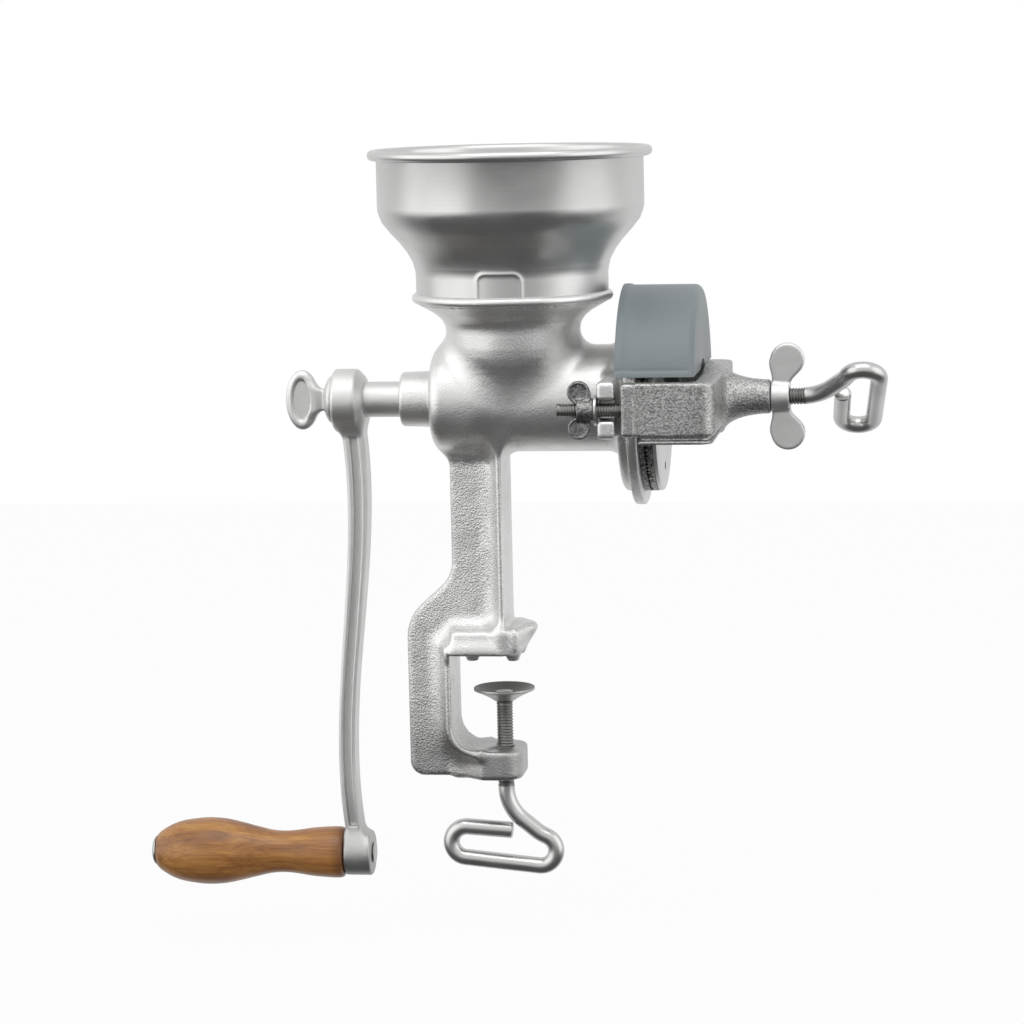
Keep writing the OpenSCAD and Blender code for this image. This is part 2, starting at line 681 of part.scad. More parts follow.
module yoke() color(casting) difference() {
    union() {
        translate([0, 0, shaft_rise - yoke_h / 2]) linear_extrude(yoke_h) yoke_plan();
        translate([0, 0, shaft_rise - yoke_h / 2 - ledge_gap - ledge_t])
            linear_extrude(ledge_t) yoke_plan();
        translate([0, 0, shaft_rise - yoke_h / 2 - ledge_gap - over]) intersection() {
            linear_extrude(ledge_gap + 2 * over) yoke_plan();
            translate([arm_x, -yoke_reach + ledge_t, 0])
                cube([yoke_depth - end_block_t - ledge_t, 2 * (yoke_reach - ledge_t), yoke_h]);
        }
        yoke_side(-1);
        yoke_side(1);
        along_shaft(face_x + yoke_depth) rotate_extrude() polygon(concat([[0, -bridge_t]],
            [[bell_r, -bridge_t]],
            curve([bell_r, -bridge_t / 2], [bell_r, -bridge_t / 5],
                [yoke_nose_root_r + over, -bridge_t / 9], [yoke_nose_root_r, 0], 6),
            curve([yoke_nose_root_r, 0], [yoke_nose_r * 1.3, yoke_nose_len / 5],
                [yoke_nose_r, yoke_nose_len / 2], [yoke_nose_r, yoke_nose_len]),
            [[0, yoke_nose_len]]));
    }
    along_shaft(bridge_x - over) cylinder(h = bridge_t + yoke_nose_len + 2 * over,
        r = rod_r + running_clear);
    for (side = [-1, 1]) translate([arm_x, side * bolt_offset, shaft_rise]) {
        translate([0, -yoke_arm_t, -bolt_r * 1.8]) cube([bolt_r + running_clear,
            2 * yoke_arm_t, bolt_r * 3.6]);
        translate([-over, 0, 0]) rotate([0, 90, 0])
            cylinder(h = 2 * over, r = bolt_r + running_clear);
    }
}

// Bolt along the shaft's direction, T head in the yoke's pocket
module yoke_bolt(side) color(plated) {
    tail_x = ear_x - washer_t - small_nut_len - bolt_show;
    translate([tail_x, side * bolt_offset, shaft_rise]) rotate([0, 90, 0])
        cylinder(h = arm_x - tail_x + over, r = bolt_r);
    translate([arm_x + running_clear, side * bolt_offset - bolt_r, shaft_rise - bolt_r * 1.6])
        cube([bolt_r - running_clear, 2 * bolt_r, bolt_r * 3.2]);
}

module front_yoke_bolt() yoke_bolt(-1);

module rear_yoke_bolt() yoke_bolt(1);

module washer(side) color(plated)
    translate([ear_x, side * bolt_offset, shaft_rise]) rotate([0, -90, 0]) difference() {
        cylinder(h = washer_t, r = washer_r);
        translate([0, 0, -over]) cylinder(h = washer_t + 2 * over, r = bolt_r + running_clear);
    }

module front_washer() washer(-1);

module rear_washer() washer(1);

// Wing nut on its seat at zero, wings leaning away from the seat
module wing_nut(hub_r, hub_len, wing_r, span, hole_r) {
    wing_t = hub_r / 2;
    difference() {
        union() {
            cylinder(h = hub_len, r1 = hub_r, r2 = hub_r * 0.9);
            for (side = [-1, 1]) hull() {
                translate([side * (span / 2 - wing_r), 0, hub_len * 0.9]) rotate([90, 0, 0])
                    cylinder(h = wing_t, r = wing_r, center = true, $fn = 32);
                translate([side * hub_r * 0.6, 0, hub_len / 2]) rotate([90, 0, 0])
                    cylinder(h = wing_t, r = hub_len * 0.4, center = true, $fn = 32);
            }
        }
        translate([0, 0, -over]) cylinder(h = hub_len + wing_r + 2 * over, r = hole_r);
    }
}

module small_nut(side) color(casting)
    translate([ear_x - washer_t - seat_gap, side * bolt_offset, shaft_rise]) rotate([0, -90, 0])
        wing_nut(small_nut_r, small_nut_len, small_wing_r, small_wing_span,
            bolt_r + running_clear);

module front_wing_nut() small_nut(-1);

module rear_wing_nut() small_nut(1);

module lock_wing_nut() color(casting) along_shaft(nut_x)
    wing_nut(lock_nut_r, lock_nut_len, lock_wing_r, lock_wing_span, rod_r + running_clear);

module burr_guard() color([0.52, 0.56, 0.57]) {
    in_r = face_disc_r + guard_gap;
    out_r = in_r + guard_t;
    open_x = disc_x - guard_bead_w - guard_lap;
    low = shaft_rise + guard_rise;
    cut_r = bell_r + guard_bell_gap;
    intersection() {
        along_shaft(open_x) rotate_extrude() polygon(concat(
            [[in_r, 0], [out_r + guard_bead_t, 0], [out_r + guard_bead_t, guard_bead_w],
                [out_r, guard_bead_w + guard_bead_t]],
            arc([out_r - guard_corner_r, guard_w - guard_corner_r], guard_corner_r, 0, 90),
            [[cut_r, guard_w], [cut_r, guard_w - guard_t]],
            arc([in_r - guard_corner_r + guard_t, guard_w - guard_corner_r],
                guard_corner_r - guard_t, 90, 0)));
        translate([open_x - over, -2 * out_r, low])
            cube([guard_w + 2 * over, 4 * out_r, 2 * out_r]);
    }
}

// Rod of radius r along its steps: straight length, bend radius, bend angle
module bent_rod(steps, r, i = 0) {
    straight = steps[i][0];
    radius = steps[i][1];
    angle = steps[i][2];
    side = sign(angle);
    lap = i > 0 ? over / 3 : 0;
    translate([0, 0, -lap]) cylinder(h = straight + lap + over / 3, r = r);
    if (i < len(steps) - 1) translate([0, 0, straight]) {
        translate([side * radius, 0, 0]) rotate([90, 0, 90 + side * 90])
            rotate_extrude(angle = abs(angle)) translate([radius, 0]) circle(r = r - running_clear);
        translate([side * radius * (1 - cos(angle)), 0, radius * sin(abs(angle))])
            rotate([0, angle, 0]) bent_rod(steps, r, i + 1);
    }
}

// Screw rod with the flat loop that serves as its handle, tip at zero
module loop_screw(shank) {
    bent_rod([[shank, bend_r, 51], [loop_lead, bend_r, 14], [rod_r * loop_step_share, loop_r, -161],
        [loop_bar, loop_r, -178], [loop_end_bar, 0, 0]], rod_r);
}

module adjusting_screw() color(plated) difference() {
    translate([screw_tip_x, 0, shaft_rise]) rotate([adjust_turn, 0, 0]) rotate([0, 90, 0])
        loop_screw(nut_x + lock_nut_len + adjust_shank - screw_tip_x);
    translate([ball_x, 0, shaft_rise]) sphere(r = ball_r + running_clear);
}

module thrust_ball() color(plated) translate([ball_x, 0, shaft_rise]) sphere(r = ball_r);

// Middle of the arm at share k of the way down: an S that bows by arm_bow
function arm_axis(k) =
    let (hub_c = crank_x - crank_hub_len * arm_end_shares[0],
        boss_c = crank_end_x + crank_boss_len * arm_end_shares[1])
        [pow(1 - k, 3) * hub_c + 3 * k * pow(1 - k, 2) * (hub_c + arm_bow)
            + 3 * k * k * (1 - k) * (boss_c - arm_bow) + k * k * k * boss_c,
        shaft_rise - k * crank_radius];

// Side outline of the arm, w_top wide above and w_low below
module arm_outline(w_top, w_low, from, to) {
    steps = 20;
    place = [for (i = [0 : steps]) from + (to - from) * i / steps];
    left = [for (k = place) arm_axis(k) - [(w_top + (w_low - w_top) * k) / 2, 0]];
    right = [for (i = [steps : -1 : 0])
        arm_axis(place[i]) + [(w_top + (w_low - w_top) * place[i]) / 2, 0]];
    polygon(concat(left, right));
}

module crank_arm() color(casting) {
    boss_x_low = crank_end_x - crank_set;
    groove_y = arm_depth / 2 - arm_groove_d;
    difference() {
        union() {
            along_shaft(crank_end_x) cylinder(h = crank_hub_len, r = crank_hub_r);
            upright(arm_depth) arm_outline(arm_top_w, arm_low_w, 0.03, 0.99);
            translate([boss_x_low, 0, shaft_rise - crank_radius]) rotate([0, 90, 0])
                cylinder(h = crank_boss_len, r = crank_boss_r);
        }
        for (side = [-1, 1]) translate([0, side * (groove_y + arm_depth / 2), 0])
            upright(arm_depth) arm_outline(arm_groove_w, arm_groove_w * 0.8, 0.085, 0.93);
        translate([crank_end_x - over, -square_w / 2 - running_clear,
            shaft_rise - square_w / 2 - running_clear])
            cube([crank_hub_len + 2 * over, square_w + 2 * running_clear,
                square_w + 2 * running_clear]);
        translate([boss_x_low - over, 0, shaft_rise - crank_radius]) rotate([0, 90, 0])
            cylinder(h = crank_boss_len + 2 * over, r = handle_bolt_r + running_clear);
    }
}

// Oval outline with half axes a and b
function oval(a, b, n = 40) = [for (i = [1 : n]) [a * cos(i * 360 / n), b * sin(i * 360 / n)]];

module crank_thumb_screw() color(casting) {
    seat_x = crank_end_x - seat_gap;
    oval_x = seat_x - thumb_collar_t - thumb_tab_len + thumb_tab_w / 2;
    neck_h = thumb_tab_h * 0.38;
    along_shaft(seat_x - thumb_collar_t) cylinder(h = thumb_collar_t + seat_gap
        + thumb_shank_len, r = rod_r);
    along_shaft(seat_x - thumb_collar_t) cylinder(h = thumb_collar_t, r1 = thumb_collar_r * 0.8,
        r2 = thumb_collar_r);
    difference() {
        union() {
            translate([oval_x, 0, shaft_rise]) upright(thumb_tab_t)
                polygon(oval(thumb_tab_w / 2, thumb_tab_h / 2));
            translate([oval_x, -thumb_tab_t / 2, shaft_rise - neck_h / 2])
                cube([seat_x - thumb_collar_t / 2 - oval_x, thumb_tab_t, neck_h]);
        }
        for (side = [-1, 1]) translate([oval_x, side * (thumb_tab_t - thumb_hollow), shaft_rise])
            upright(thumb_tab_t) polygon(oval(thumb_tab_w * 0.28, thumb_tab_h * 0.36));
    }
}

module handle_bolt() color(plated) {
    left_x = crank_end_x - crank_set - seat_gap - grip_len;
    right_x = crank_end_x - crank_set + crank_boss_len;
    ball_like_r = (dome_r * dome_r + dome_h * dome_h) / (2 * dome_h);
    translate([0, 0, shaft_rise - crank_radius]) {
        translate([left_x - seat_gap, 0, 0]) rotate([0, 90, 0])
            cylinder(h = right_x - left_x + seat_gap + dome_h / 2, r = handle_bolt_r);
        translate([left_x - seat_gap, 0, 0]) rotate([0, -90, 0]) intersection() {
            cylinder(h = dome_h, r = dome_r);
            translate([0, 0, dome_h - ball_like_r]) sphere(r = ball_like_r);
        }
        translate([right_x, 0, 0]) rotate([0, 90, 0])
            cylinder(h = dome_h / 2, r1 = handle_bolt_r * 1.4, r2 = handle_bolt_r);
    }
}

module wooden_grip() color([0.62, 0.42, 0.2]) {
    right_x = crank_end_x - crank_set - seat_gap;
    high = grip_len * grip_shares[0];
    waist = grip_len * grip_shares[1];
    heel = grip_len * grip_shares[2];
    translate([right_x - grip_len, 0, shaft_rise - crank_radius]) rotate([0, 90, 0])
        difference() {
            rotate_extrude() polygon(concat([[0, 0]],
                curve([dome_r, 0], [grip_r * 0.7, 0], [grip_r, high * 0.45], [grip_r, high]),
                curve([grip_r, high], [grip_r, high * 1.6],
                    [grip_waist_r, waist * 0.78], [grip_waist_r, waist]),
                curve([grip_waist_r, waist], [grip_waist_r, waist + (heel - waist) * 0.3],
                    [grip_heel_r, heel - (heel - waist) * 0.4], [grip_heel_r, heel], 8),
                curve([grip_heel_r, heel], [grip_heel_r, grip_len * 0.98],
                    [grip_heel_r, grip_len], [grip_heel_r * 0.85, grip_len], 6),
                [[0, grip_len]]));
            translate([0, 0, -over]) cylinder(h = grip_len + 2 * over,
                r = handle_bolt_r + running_clear);
        }
}

module clamp_screw() color(plated) {
    neck_z = -pad_drop - pad_h;
    peen_r = rod_r * 0.7;
    translate([0, 0, neck_z - seat_gap]) rotate([180, 0, 0])
        loop_screw(neck_z - seat_gap - arm_z + clamp_shank);
    translate([0, 0, neck_z - seat_gap - over]) cylinder(h = pad_h / 2 + seat_gap + over, r = peen_r);
    translate([0, 0, neck_z + pad_h / 2]) cylinder(h = pad_t, r1 = peen_r * 1.6, r2 = peen_r);
}

// Dished pad: a cone with a hollow top, turning on the screw's peened tip
module clamp_pad() color(plated) {
    hole_r = rod_r * 0.7 + running_clear;
    floor_h = pad_h / 2 - seat_gap;
    translate([0, 0, -pad_drop - pad_h]) difference() {
        rotate_extrude() polygon(concat([[0, 0]],
            curve([rod_r * 1.3, 0], [rod_r * 2, pad_h * 0.35], [pad_r - pad_t, pad_h * 0.7],
                [pad_r, pad_h - pad_t], 8),
            [[pad_r, pad_h], [pad_r - pad_t, pad_h]],
            curve([pad_r - pad_t, pad_h], [rod_r * 2.4, floor_h * 1.4], [rod_r * 1.8, floor_h],
                [rod_r * 1.4, floor_h], 6),
            [[0, floor_h]]));
        translate([0, 0, -over]) cylinder(h = pad_h + 2 * over, r = hole_r);
    }
}

body();
hopper();
auger();
drive_pin();
burr_holder();
rotating_burr();
rotating_burr_screws();
fixed_burr();
fixed_burr_screws();
yoke();
front_yoke_bolt();
rear_yoke_bolt();
front_washer();
rear_washer();
front_wing_nut();
rear_wing_nut();
burr_guard();
adjusting_screw();
thrust_ball();
lock_wing_nut();
crank_arm();
crank_thumb_screw();
handle_bolt();
wooden_grip();
clamp_screw();
clamp_pad();
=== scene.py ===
import math
import bmesh
import bpy
import numpy as np
from mathutils import Matrix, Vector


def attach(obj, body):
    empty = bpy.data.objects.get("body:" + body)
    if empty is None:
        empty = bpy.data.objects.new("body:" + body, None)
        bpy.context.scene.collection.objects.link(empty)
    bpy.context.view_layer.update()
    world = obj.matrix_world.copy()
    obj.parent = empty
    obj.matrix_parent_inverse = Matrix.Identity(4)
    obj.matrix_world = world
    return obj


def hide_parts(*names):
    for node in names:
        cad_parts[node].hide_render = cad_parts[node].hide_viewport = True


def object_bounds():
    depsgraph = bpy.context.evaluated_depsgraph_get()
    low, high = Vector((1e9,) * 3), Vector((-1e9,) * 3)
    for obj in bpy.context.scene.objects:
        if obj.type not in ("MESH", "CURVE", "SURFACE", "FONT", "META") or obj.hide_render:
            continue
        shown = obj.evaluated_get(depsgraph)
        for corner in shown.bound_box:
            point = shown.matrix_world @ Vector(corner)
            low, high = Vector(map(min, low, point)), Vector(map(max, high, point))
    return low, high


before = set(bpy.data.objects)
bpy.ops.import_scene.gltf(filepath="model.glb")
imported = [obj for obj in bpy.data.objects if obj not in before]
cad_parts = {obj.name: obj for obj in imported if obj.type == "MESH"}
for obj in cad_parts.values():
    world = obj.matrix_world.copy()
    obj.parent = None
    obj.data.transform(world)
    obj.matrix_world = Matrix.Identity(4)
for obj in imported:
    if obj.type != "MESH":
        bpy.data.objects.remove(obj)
cad_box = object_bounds()

# Camera and studio. The mill stands clear of a pale floor in soft light, seen a little from the
# burrs' side and from above, with the slight lean of the photograph. Lengths here are in metres.
yaw, rise, lean = math.radians(8.2), math.radians(7.7), math.radians(1.28)
aim, away = np.array([0.0056, 0.0, 0.070]), 1.65
pixel, pixels_wide = 0.477e-3, 1024
back = np.array([math.sin(yaw) * math.cos(rise), -math.cos(yaw) * math.cos(rise), math.sin(rise)])
sideways = np.array([math.cos(yaw), math.sin(yaw), 0.0])
upward = np.cross(back, sideways)
right = sideways * math.cos(lean) - upward * math.sin(lean)
over = sideways * math.sin(lean) + upward * math.cos(lean)
camera = bpy.data.objects.new("camera", bpy.data.cameras.new("camera"))
bpy.context.scene.collection.objects.link(camera)
pose = np.eye(4)
pose[:3, :3] = np.stack([right, over, back], 1)
pose[:3, 3] = aim + back * away
camera.matrix_world = Matrix(pose.tolist())
camera.data.sensor_width = 36
camera.data.lens = camera.data.sensor_width * (away / pixel) / pixels_wide
camera.data.clip_start = 0.05
camera.data.clip_end = 50
bpy.context.scene.camera = camera
bpy.context.scene.view_settings.view_transform = "Standard"


def linear(code):
    """An sRGB hex colour as linear red, green, blue and 1: the sRGB curve undone for each channel."""
    c = np.array([int(code[i:i + 2], 16) for i in (1, 3, 5)]) / 255
    c = np.where(c <= 0.04045, c / 12.92, ((c + 0.055) / 1.055) ** 2.4)
    return (*[float(x) for x in c], 1.0)


def add(tree, kind, inputs=(), **settings):
    """Adds a node with its settings; inputs holds (socket, value or another node's output)."""
    made = tree.nodes.new(kind)
    for name, value in settings.items():
        setattr(made, name, value)
    for socket, value in inputs:
        if isinstance(value, bpy.types.NodeSocket):
            tree.links.new(value, made.inputs[socket])
        else:
            made.inputs[socket].default_value = value
    return made


def soft_box(name, size, at, watts):
    """A rectangular lamp of that size that faces the barrel: its z axis runs from the barrel to it,
    and its x axis is level."""
    box = bpy.data.objects.new(name, bpy.data.lights.new(name, "AREA"))
    box.data.shape, box.data.size, box.data.size_y, box.data.energy = "RECTANGLE", *size, watts
    z = np.array(at, float) - np.array((0, 0, 0.10), float)
    z /= np.linalg.norm(z)
    x = np.cross([0, 0, 1.0], z)
    x /= np.linalg.norm(x)
    turn = np.eye(4)
    turn[:3, :3] = np.stack([x, np.cross(z, x), z], 1)
    turn[:3, 3] = at
    box.matrix_world = Matrix(turn.tolist())
    bpy.context.scene.collection.objects.link(box)


soft_box("left_soft_box", (2.7, 2.2), (-1.62, -0.86, 0.45), 13.5)
soft_box("right_soft_box", (1.7, 2.2), (1.79, -0.38, 0.45), 8.5)
soft_box("top_soft_box", (1.8, 1.4), (0.1, -0.75, 1.75), 12)

# The room is white in the picture. In the metal it shows a shade darker: more so low down in front
# of the mill, on the camera's side, and most of all below the horizon, except behind the mill.
world = bpy.data.worlds.new("studio")
bpy.context.scene.world = world
world.use_nodes = True
sky = world.node_tree
sky.nodes.clear()
where = add(sky, "ShaderNodeTexCoord")
turned_to = add(sky, "ShaderNodeSeparateXYZ", [(0, where.outputs["Generated"])])
forward = add(sky, "ShaderNodeVectorMath", [(0, where.outputs["Generated"]), (1, (0.24, -0.97, 0.0))],
              operation="DOT_PRODUCT")
ahead = add(sky, "ShaderNodeMapRange", [(0, forward.outputs["Value"]), (1, 0.78), (2, 0.95), (3, 0.0), (4, 1.0)])
below = add(sky, "ShaderNodeMapRange", [(0, turned_to.outputs["Z"]), (1, -0.04), (2, 0.14), (3, 1.0), (4, 0.0)])
shade = add(sky, "ShaderNodeMath", [(0, ahead.outputs[0]), (1, below.outputs[0])], operation="MULTIPLY")
depth = add(sky, "ShaderNodeMapRange", [(0, shade.outputs[0]), (1, 0.0), (2, 1.0), (3, 0.85), (4, 0.62)])
under = add(sky, "ShaderNodeMapRange", [(0, turned_to.outputs["Z"]), (1, -0.36), (2, 0.04), (3, 0.88), (4, 0.0)])
near = add(sky, "ShaderNodeMapRange", [(0, turned_to.outputs["Y"]), (1, 0.15), (2, 0.55), (3, 1.0), (4, 0.0)])
gloom = add(sky, "ShaderNodeMath", [(0, under.outputs[0]), (1, near.outputs[0])], operation="MULTIPLY")
kept = add(sky, "ShaderNodeMath", [(0, 1.0), (1, gloom.outputs[0])], operation="SUBTRACT")
room = add(sky, "ShaderNodeMath", [(0, depth.outputs[0]), (1, kept.outputs[0])], operation="MULTIPLY")
path = add(sky, "ShaderNodeLightPath")
seen = add(sky, "ShaderNodeMath", [(0, path.outputs["Is Camera Ray"]), (1, path.outputs["Is Transmission Ray"])],
           operation="MAXIMUM")
dim = add(sky, "ShaderNodeBackground", [(0, room.outputs[0]), (1, 1.0)])
white = add(sky, "ShaderNodeBackground", [(0, (1, 1, 1, 1)), (1, 1.0)])
pick = add(sky, "ShaderNodeMixShader", [(0, seen.outputs[0]), (1, dim.outputs[0]), (2, white.outputs[0])])
add(sky, "ShaderNodeOutputWorld", [(0, pick.outputs[0])])


# Body casting: barrel with its bearing boss and burr flange, throat with the hopper's seat, ears
# for the yoke bolts and the ribbed C frame, poured in one piece in grey iron and tinned. Its faces
# are signed distances in millimetres, joined and cut with fillets, and meshed on their zero level.
def arc(centre, r, a, b, n=8):
    """Points on a circle of radius r from angle a to b in degrees."""
    t = np.radians(np.linspace(a, b, n + 1))
    return [(centre[0] + r * math.cos(k), centre[1] + r * math.sin(k)) for k in t]


def curve(p, q, t, s, n=12):
    """Points of a cubic curve from p to s, drawn to q and t: the Bernstein sum of the four."""
    k = np.linspace(0, 1, n + 1)[:, None]
    pts = (1 - k) ** 3 * np.array(p) + 3 * k * (1 - k) ** 2 * np.array(q) \
        + 3 * k * k * (1 - k) * np.array(t) + k ** 3 * np.array(s)
    return [tuple(v) for v in pts]


def outline(u, v, points):
    """Signed distance in a plane to a closed outline: the least distance to its sides, negative
    where a ray along u crosses them an odd number of times."""
    points = [np.array(p, float) for p in points]
    near, inside = None, False
    for p, q in zip(points, points[1:] + points[:1]):
        ex, ey = q - p
        size = ex * ex + ey * ey
        if size < 1e-12:
            continue
        wx, wy = u - p[0], v - p[1]
        t = np.clip((wx * ex + wy * ey) / size, 0, 1)
        d = (wx - t * ex) ** 2 + (wy - t * ey) ** 2
        near = d if near is None else np.minimum(near, d)
        if abs(ey) > 1e-12:
            inside = inside ^ (((wy >= 0) != (v - q[1] >= 0)) & (wx < wy * ex / ey))
    return np.where(inside, -1, 1) * np.sqrt(near)


def join(a, b, r):
    """Union of two distances with a fillet of radius r in the corner between them."""
    return np.maximum(r, np.minimum(a, b)) - np.hypot(np.maximum(r - a, 0), np.maximum(r - b, 0))


def meet(a, b, r):
    """Overlap of two distances with the edge between them rounded to radius r."""
    return np.minimum(-r, np.maximum(a, b)) + np.hypot(np.maximum(r + a, 0), np.maximum(r + b, 0))


def cut(a, b, r):
    """What is left of a once b is taken away, its new edge rounded to radius r."""
    return meet(a, -b, r)


def band(v, low, high):
    """Distance to the layer between low and high along one axis."""
    return np.maximum(low - v, v - high)


def drum(along, across, low, high, r, edge):
    """Distance to a cylinder of radius r between low and high, its rims rounded to edge."""
    return meet(band(along, low, high), across - r, edge)


def cast(name, distance, low, high, step, body, material, replaces=()):
    """Mesh of a solid from its signed distance in mm: one point in each grid cell that the zero
    level passes, at the mean of its crossings, slid onto the level along the gradient, and one
    face round each grid edge that crosses."""
    axes = [np.arange(a - 1.5 * step, b + 2.5 * step, step) for a, b in zip(low, high)]
    d = np.broadcast_to(distance(*np.ix_(*axes)), [len(a) for a in axes])
    full = d < 0
    cell = [slice(0, -1), slice(1, None)]
    corners = [np.array([i, j, k]) for i in (0, 1) for j in (0, 1) for k in (0, 1)]
    count = sum(full[tuple(cell[i] for i in p)].astype(np.int8) for p in corners)
    at = np.argwhere((count > 0) & (count < 8))
    index = np.full(count.shape, -1, np.int64)
    index[tuple(at.T)] = np.arange(len(at))
    total, hits = np.zeros((len(at), 3)), np.zeros(len(at))
    for p in corners:
        for axis in range(3):
            if p[axis]:
                continue
            q = p.copy()
            q[axis] = 1
            dp, dq = d[tuple((at + p).T)], d[tuple((at + q).T)]
            crosses = (dp < 0) != (dq < 0)
            share = np.where(crosses, dp / np.where(crosses, dp - dq, 1), 0)[:, None]
            total += np.where(crosses[:, None], p + (q - p) * share, 0)
            hits += crosses
    points = np.array([a[0] for a in axes]) + (at + total / hits[:, None]) * step
    shift = np.eye(3) * step * 0.05
    for _ in range(4):
        value = distance(*points.T)
        slope = np.stack([(distance(*(points + s).T) - distance(*(points - s).T)) for s in shift], 1) / (step * 0.1)
        size = np.maximum((slope ** 2).sum(1), 0.25)
        points -= slope * np.clip(value / size, -step / 2, step / 2)[:, None]
    faces = []
    for axis in range(3):
        u, v = (axis + 1) % 3, (axis + 2) % 3
        low_side, high_side = [slice(None)] * 3, [slice(None)] * 3
        low_side[axis], high_side[axis] = slice(0, -1), slice(1, None)
        a, b = full[tuple(low_side)], full[tuple(high_side)]
        e = np.argwhere(a != b)
        e = e[(e[:, u] > 0) & (e[:, v] > 0) & (e[:, u] < full.shape[u] - 1) & (e[:, v] < full.shape[v] - 1)]
        out = a[tuple(e.T)]
        ring = []
        for du, dv in ((-1, -1), (0, -1), (0, 0), (-1, 0)):
            c = e.copy()
            c[:, u] += du
            c[:, v] += dv
            ring.append(index[tuple(c.T)])
        quad = np.stack(ring, 1)
        faces.append(np.where(out[:, None], quad, quad[:, ::-1]))
    place(name, points, np.concatenate(faces), body, material, replaces)


def place(name, points, faces, body, material, replaces=()):
    """Puts points in mm and four-sided faces into a mesh object that rides on a body."""
    mesh = bpy.data.meshes.new(name)
    mesh.from_pydata((np.asarray(points) / 1000).tolist(), [], np.asarray(faces).tolist())
    mesh.polygons.foreach_set("use_smooth", np.ones(len(mesh.polygons), bool))
    mesh.materials.append(material)
    piece = bpy.data.objects.new(name, mesh)
    bpy.context.scene.collection.objects.link(piece)
    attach(piece, body)
    if replaces:
        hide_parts(*replaces)
    return piece


def blank(name):
    """A new material, and its node tree without a node."""
    material = bpy.data.materials.new(name)
    material.use_nodes = True
    material.node_tree.nodes.clear()
    return material, material.node_tree


def tinned_iron(name, colour, dark, rough, grain, relief, coarse_below=9.0, coarse_past=9.0, shade_below=-9.0):
    """Tin on sand-cast grey iron: bright metal over a skin of sand grains about `grain` mm across,
    drawn twice as coarse as real sand so that they show. The skin is smoothed where the tin flowed
    thick, and coarser below coarse_below in z and past coarse_past in x. Below the last height in z
    the colour is painted darker, a painted shade on the lower parts. All three are in metres."""
    material, tree = blank(name)
    spot = add(tree, "ShaderNodeTexCoord").outputs["Object"]
    sand = add(tree, "ShaderNodeTexNoise", [("Vector", spot), ("Scale", 1000 / grain), ("Detail", 2.0),
                                            ("Roughness", 0.6)])
    swell = add(tree, "ShaderNodeTexNoise", [("Vector", spot), ("Scale", 1000 / 9), ("Detail", 2.0),
                                             ("Roughness", 0.5)])
    flow = add(tree, "ShaderNodeTexNoise", [("Vector", spot), ("Scale", 1000 / 22), ("Detail", 3.0),
                                            ("Roughness", 0.55)])
    at = add(tree, "ShaderNodeSeparateXYZ", [(0, spot)])
    lower = add(tree, "ShaderNodeMapRange", [(0, at.outputs["Z"]), (1, coarse_below - 0.004), (2, coarse_below + 0.012),
                                             (3, 4.2), (4, 1.0)])
    aside = add(tree, "ShaderNodeMath", [(0, at.outputs["Y"])], operation="ABSOLUTE")
    web = add(tree, "ShaderNodeMapRange", [(0, aside.outputs[0]), (1, 0.0065), (2, 0.0105), (3, 1.0),
                                           (4, 0.4 if coarse_below < 1 else 1.0)])
    inner = add(tree, "ShaderNodeMath", [(0, lower.outputs[0]), (1, web.outputs[0])], operation="MULTIPLY")
    outer = add(tree, "ShaderNodeMapRange", [(0, at.outputs["X"]), (1, coarse_past - 0.004), (2, coarse_past + 0.004),
                                             (3, 1.0), (4, 3.4)])
    coarse = add(tree, "ShaderNodeMath", [(0, inner.outputs[0]), (1, outer.outputs[0])], operation="MAXIMUM")
    patch = add(tree, "ShaderNodeMapRange", [(0, flow.outputs[0]), (1, 0.38), (2, 0.62), (3, 0.35), (4, 1.0)])
    depth = add(tree, "ShaderNodeMath", [(0, patch.outputs[0]), (1, coarse.outputs[0])], operation="MULTIPLY")
    height = add(tree, "ShaderNodeMath", [(0, sand.outputs[0]), (1, depth.outputs[0])], operation="MULTIPLY")
    bump = add(tree, "ShaderNodeBump", [("Height", height.outputs[0]), ("Distance", relief / 1000), ("Strength", 1.0)])
    wide = add(tree, "ShaderNodeBump", [("Height", swell.outputs[0]), ("Distance", 0.00025), ("Strength", 0.6),
                                        ("Normal", bump.outputs[0])])
    pits = add(tree, "ShaderNodeMapRange", [(0, sand.outputs[0]), (1, 0.34), (2, 0.62), (3, 0.0), (4, 1.0)])
    speck = add(tree, "ShaderNodeMapRange", [(0, coarse.outputs[0]), (1, 1.0), (2, 3.0), (3, 1.0), (4, 0.0)])
    clean = add(tree, "ShaderNodeMath", [(0, pits.outputs[0]), (1, speck.outputs[0])], operation="MAXIMUM")
    tint = add(tree, "ShaderNodeMix", [(0, clean.outputs[0]), (6, linear(dark)), (7, linear(colour))], data_type="RGBA")
    # Painted shade: below the given height in z the colour is mixed towards #4a4a49, darker towards the bottom.
    painted_shade = add(tree, "ShaderNodeMapRange", [(0, at.outputs["Z"]), (1, shade_below - 0.01), (2, shade_below + 0.03),
                                            (3, 0.42), (4, 0.0)])
    shaded_tint = add(tree, "ShaderNodeMix", [(0, painted_shade.outputs[0]), (6, tint.outputs[2]), (7, linear("#4a4a49"))],
               data_type="RGBA")
    gloss = add(tree, "ShaderNodeMapRange", [(0, flow.outputs[0]), (1, 0.35), (2, 0.65), (3, rough - 0.05),
                                             (4, rough + 0.06)])
    skin = add(tree, "ShaderNodeBsdfPrincipled", [("Base Color", shaded_tint.outputs[2]), ("Metallic", 1.0),
               ("Roughness", gloss.outputs[0]), ("Normal", wide.outputs[0])])
    add(tree, "ShaderNodeOutputMaterial", [(0, skin.outputs[0])])
    return material
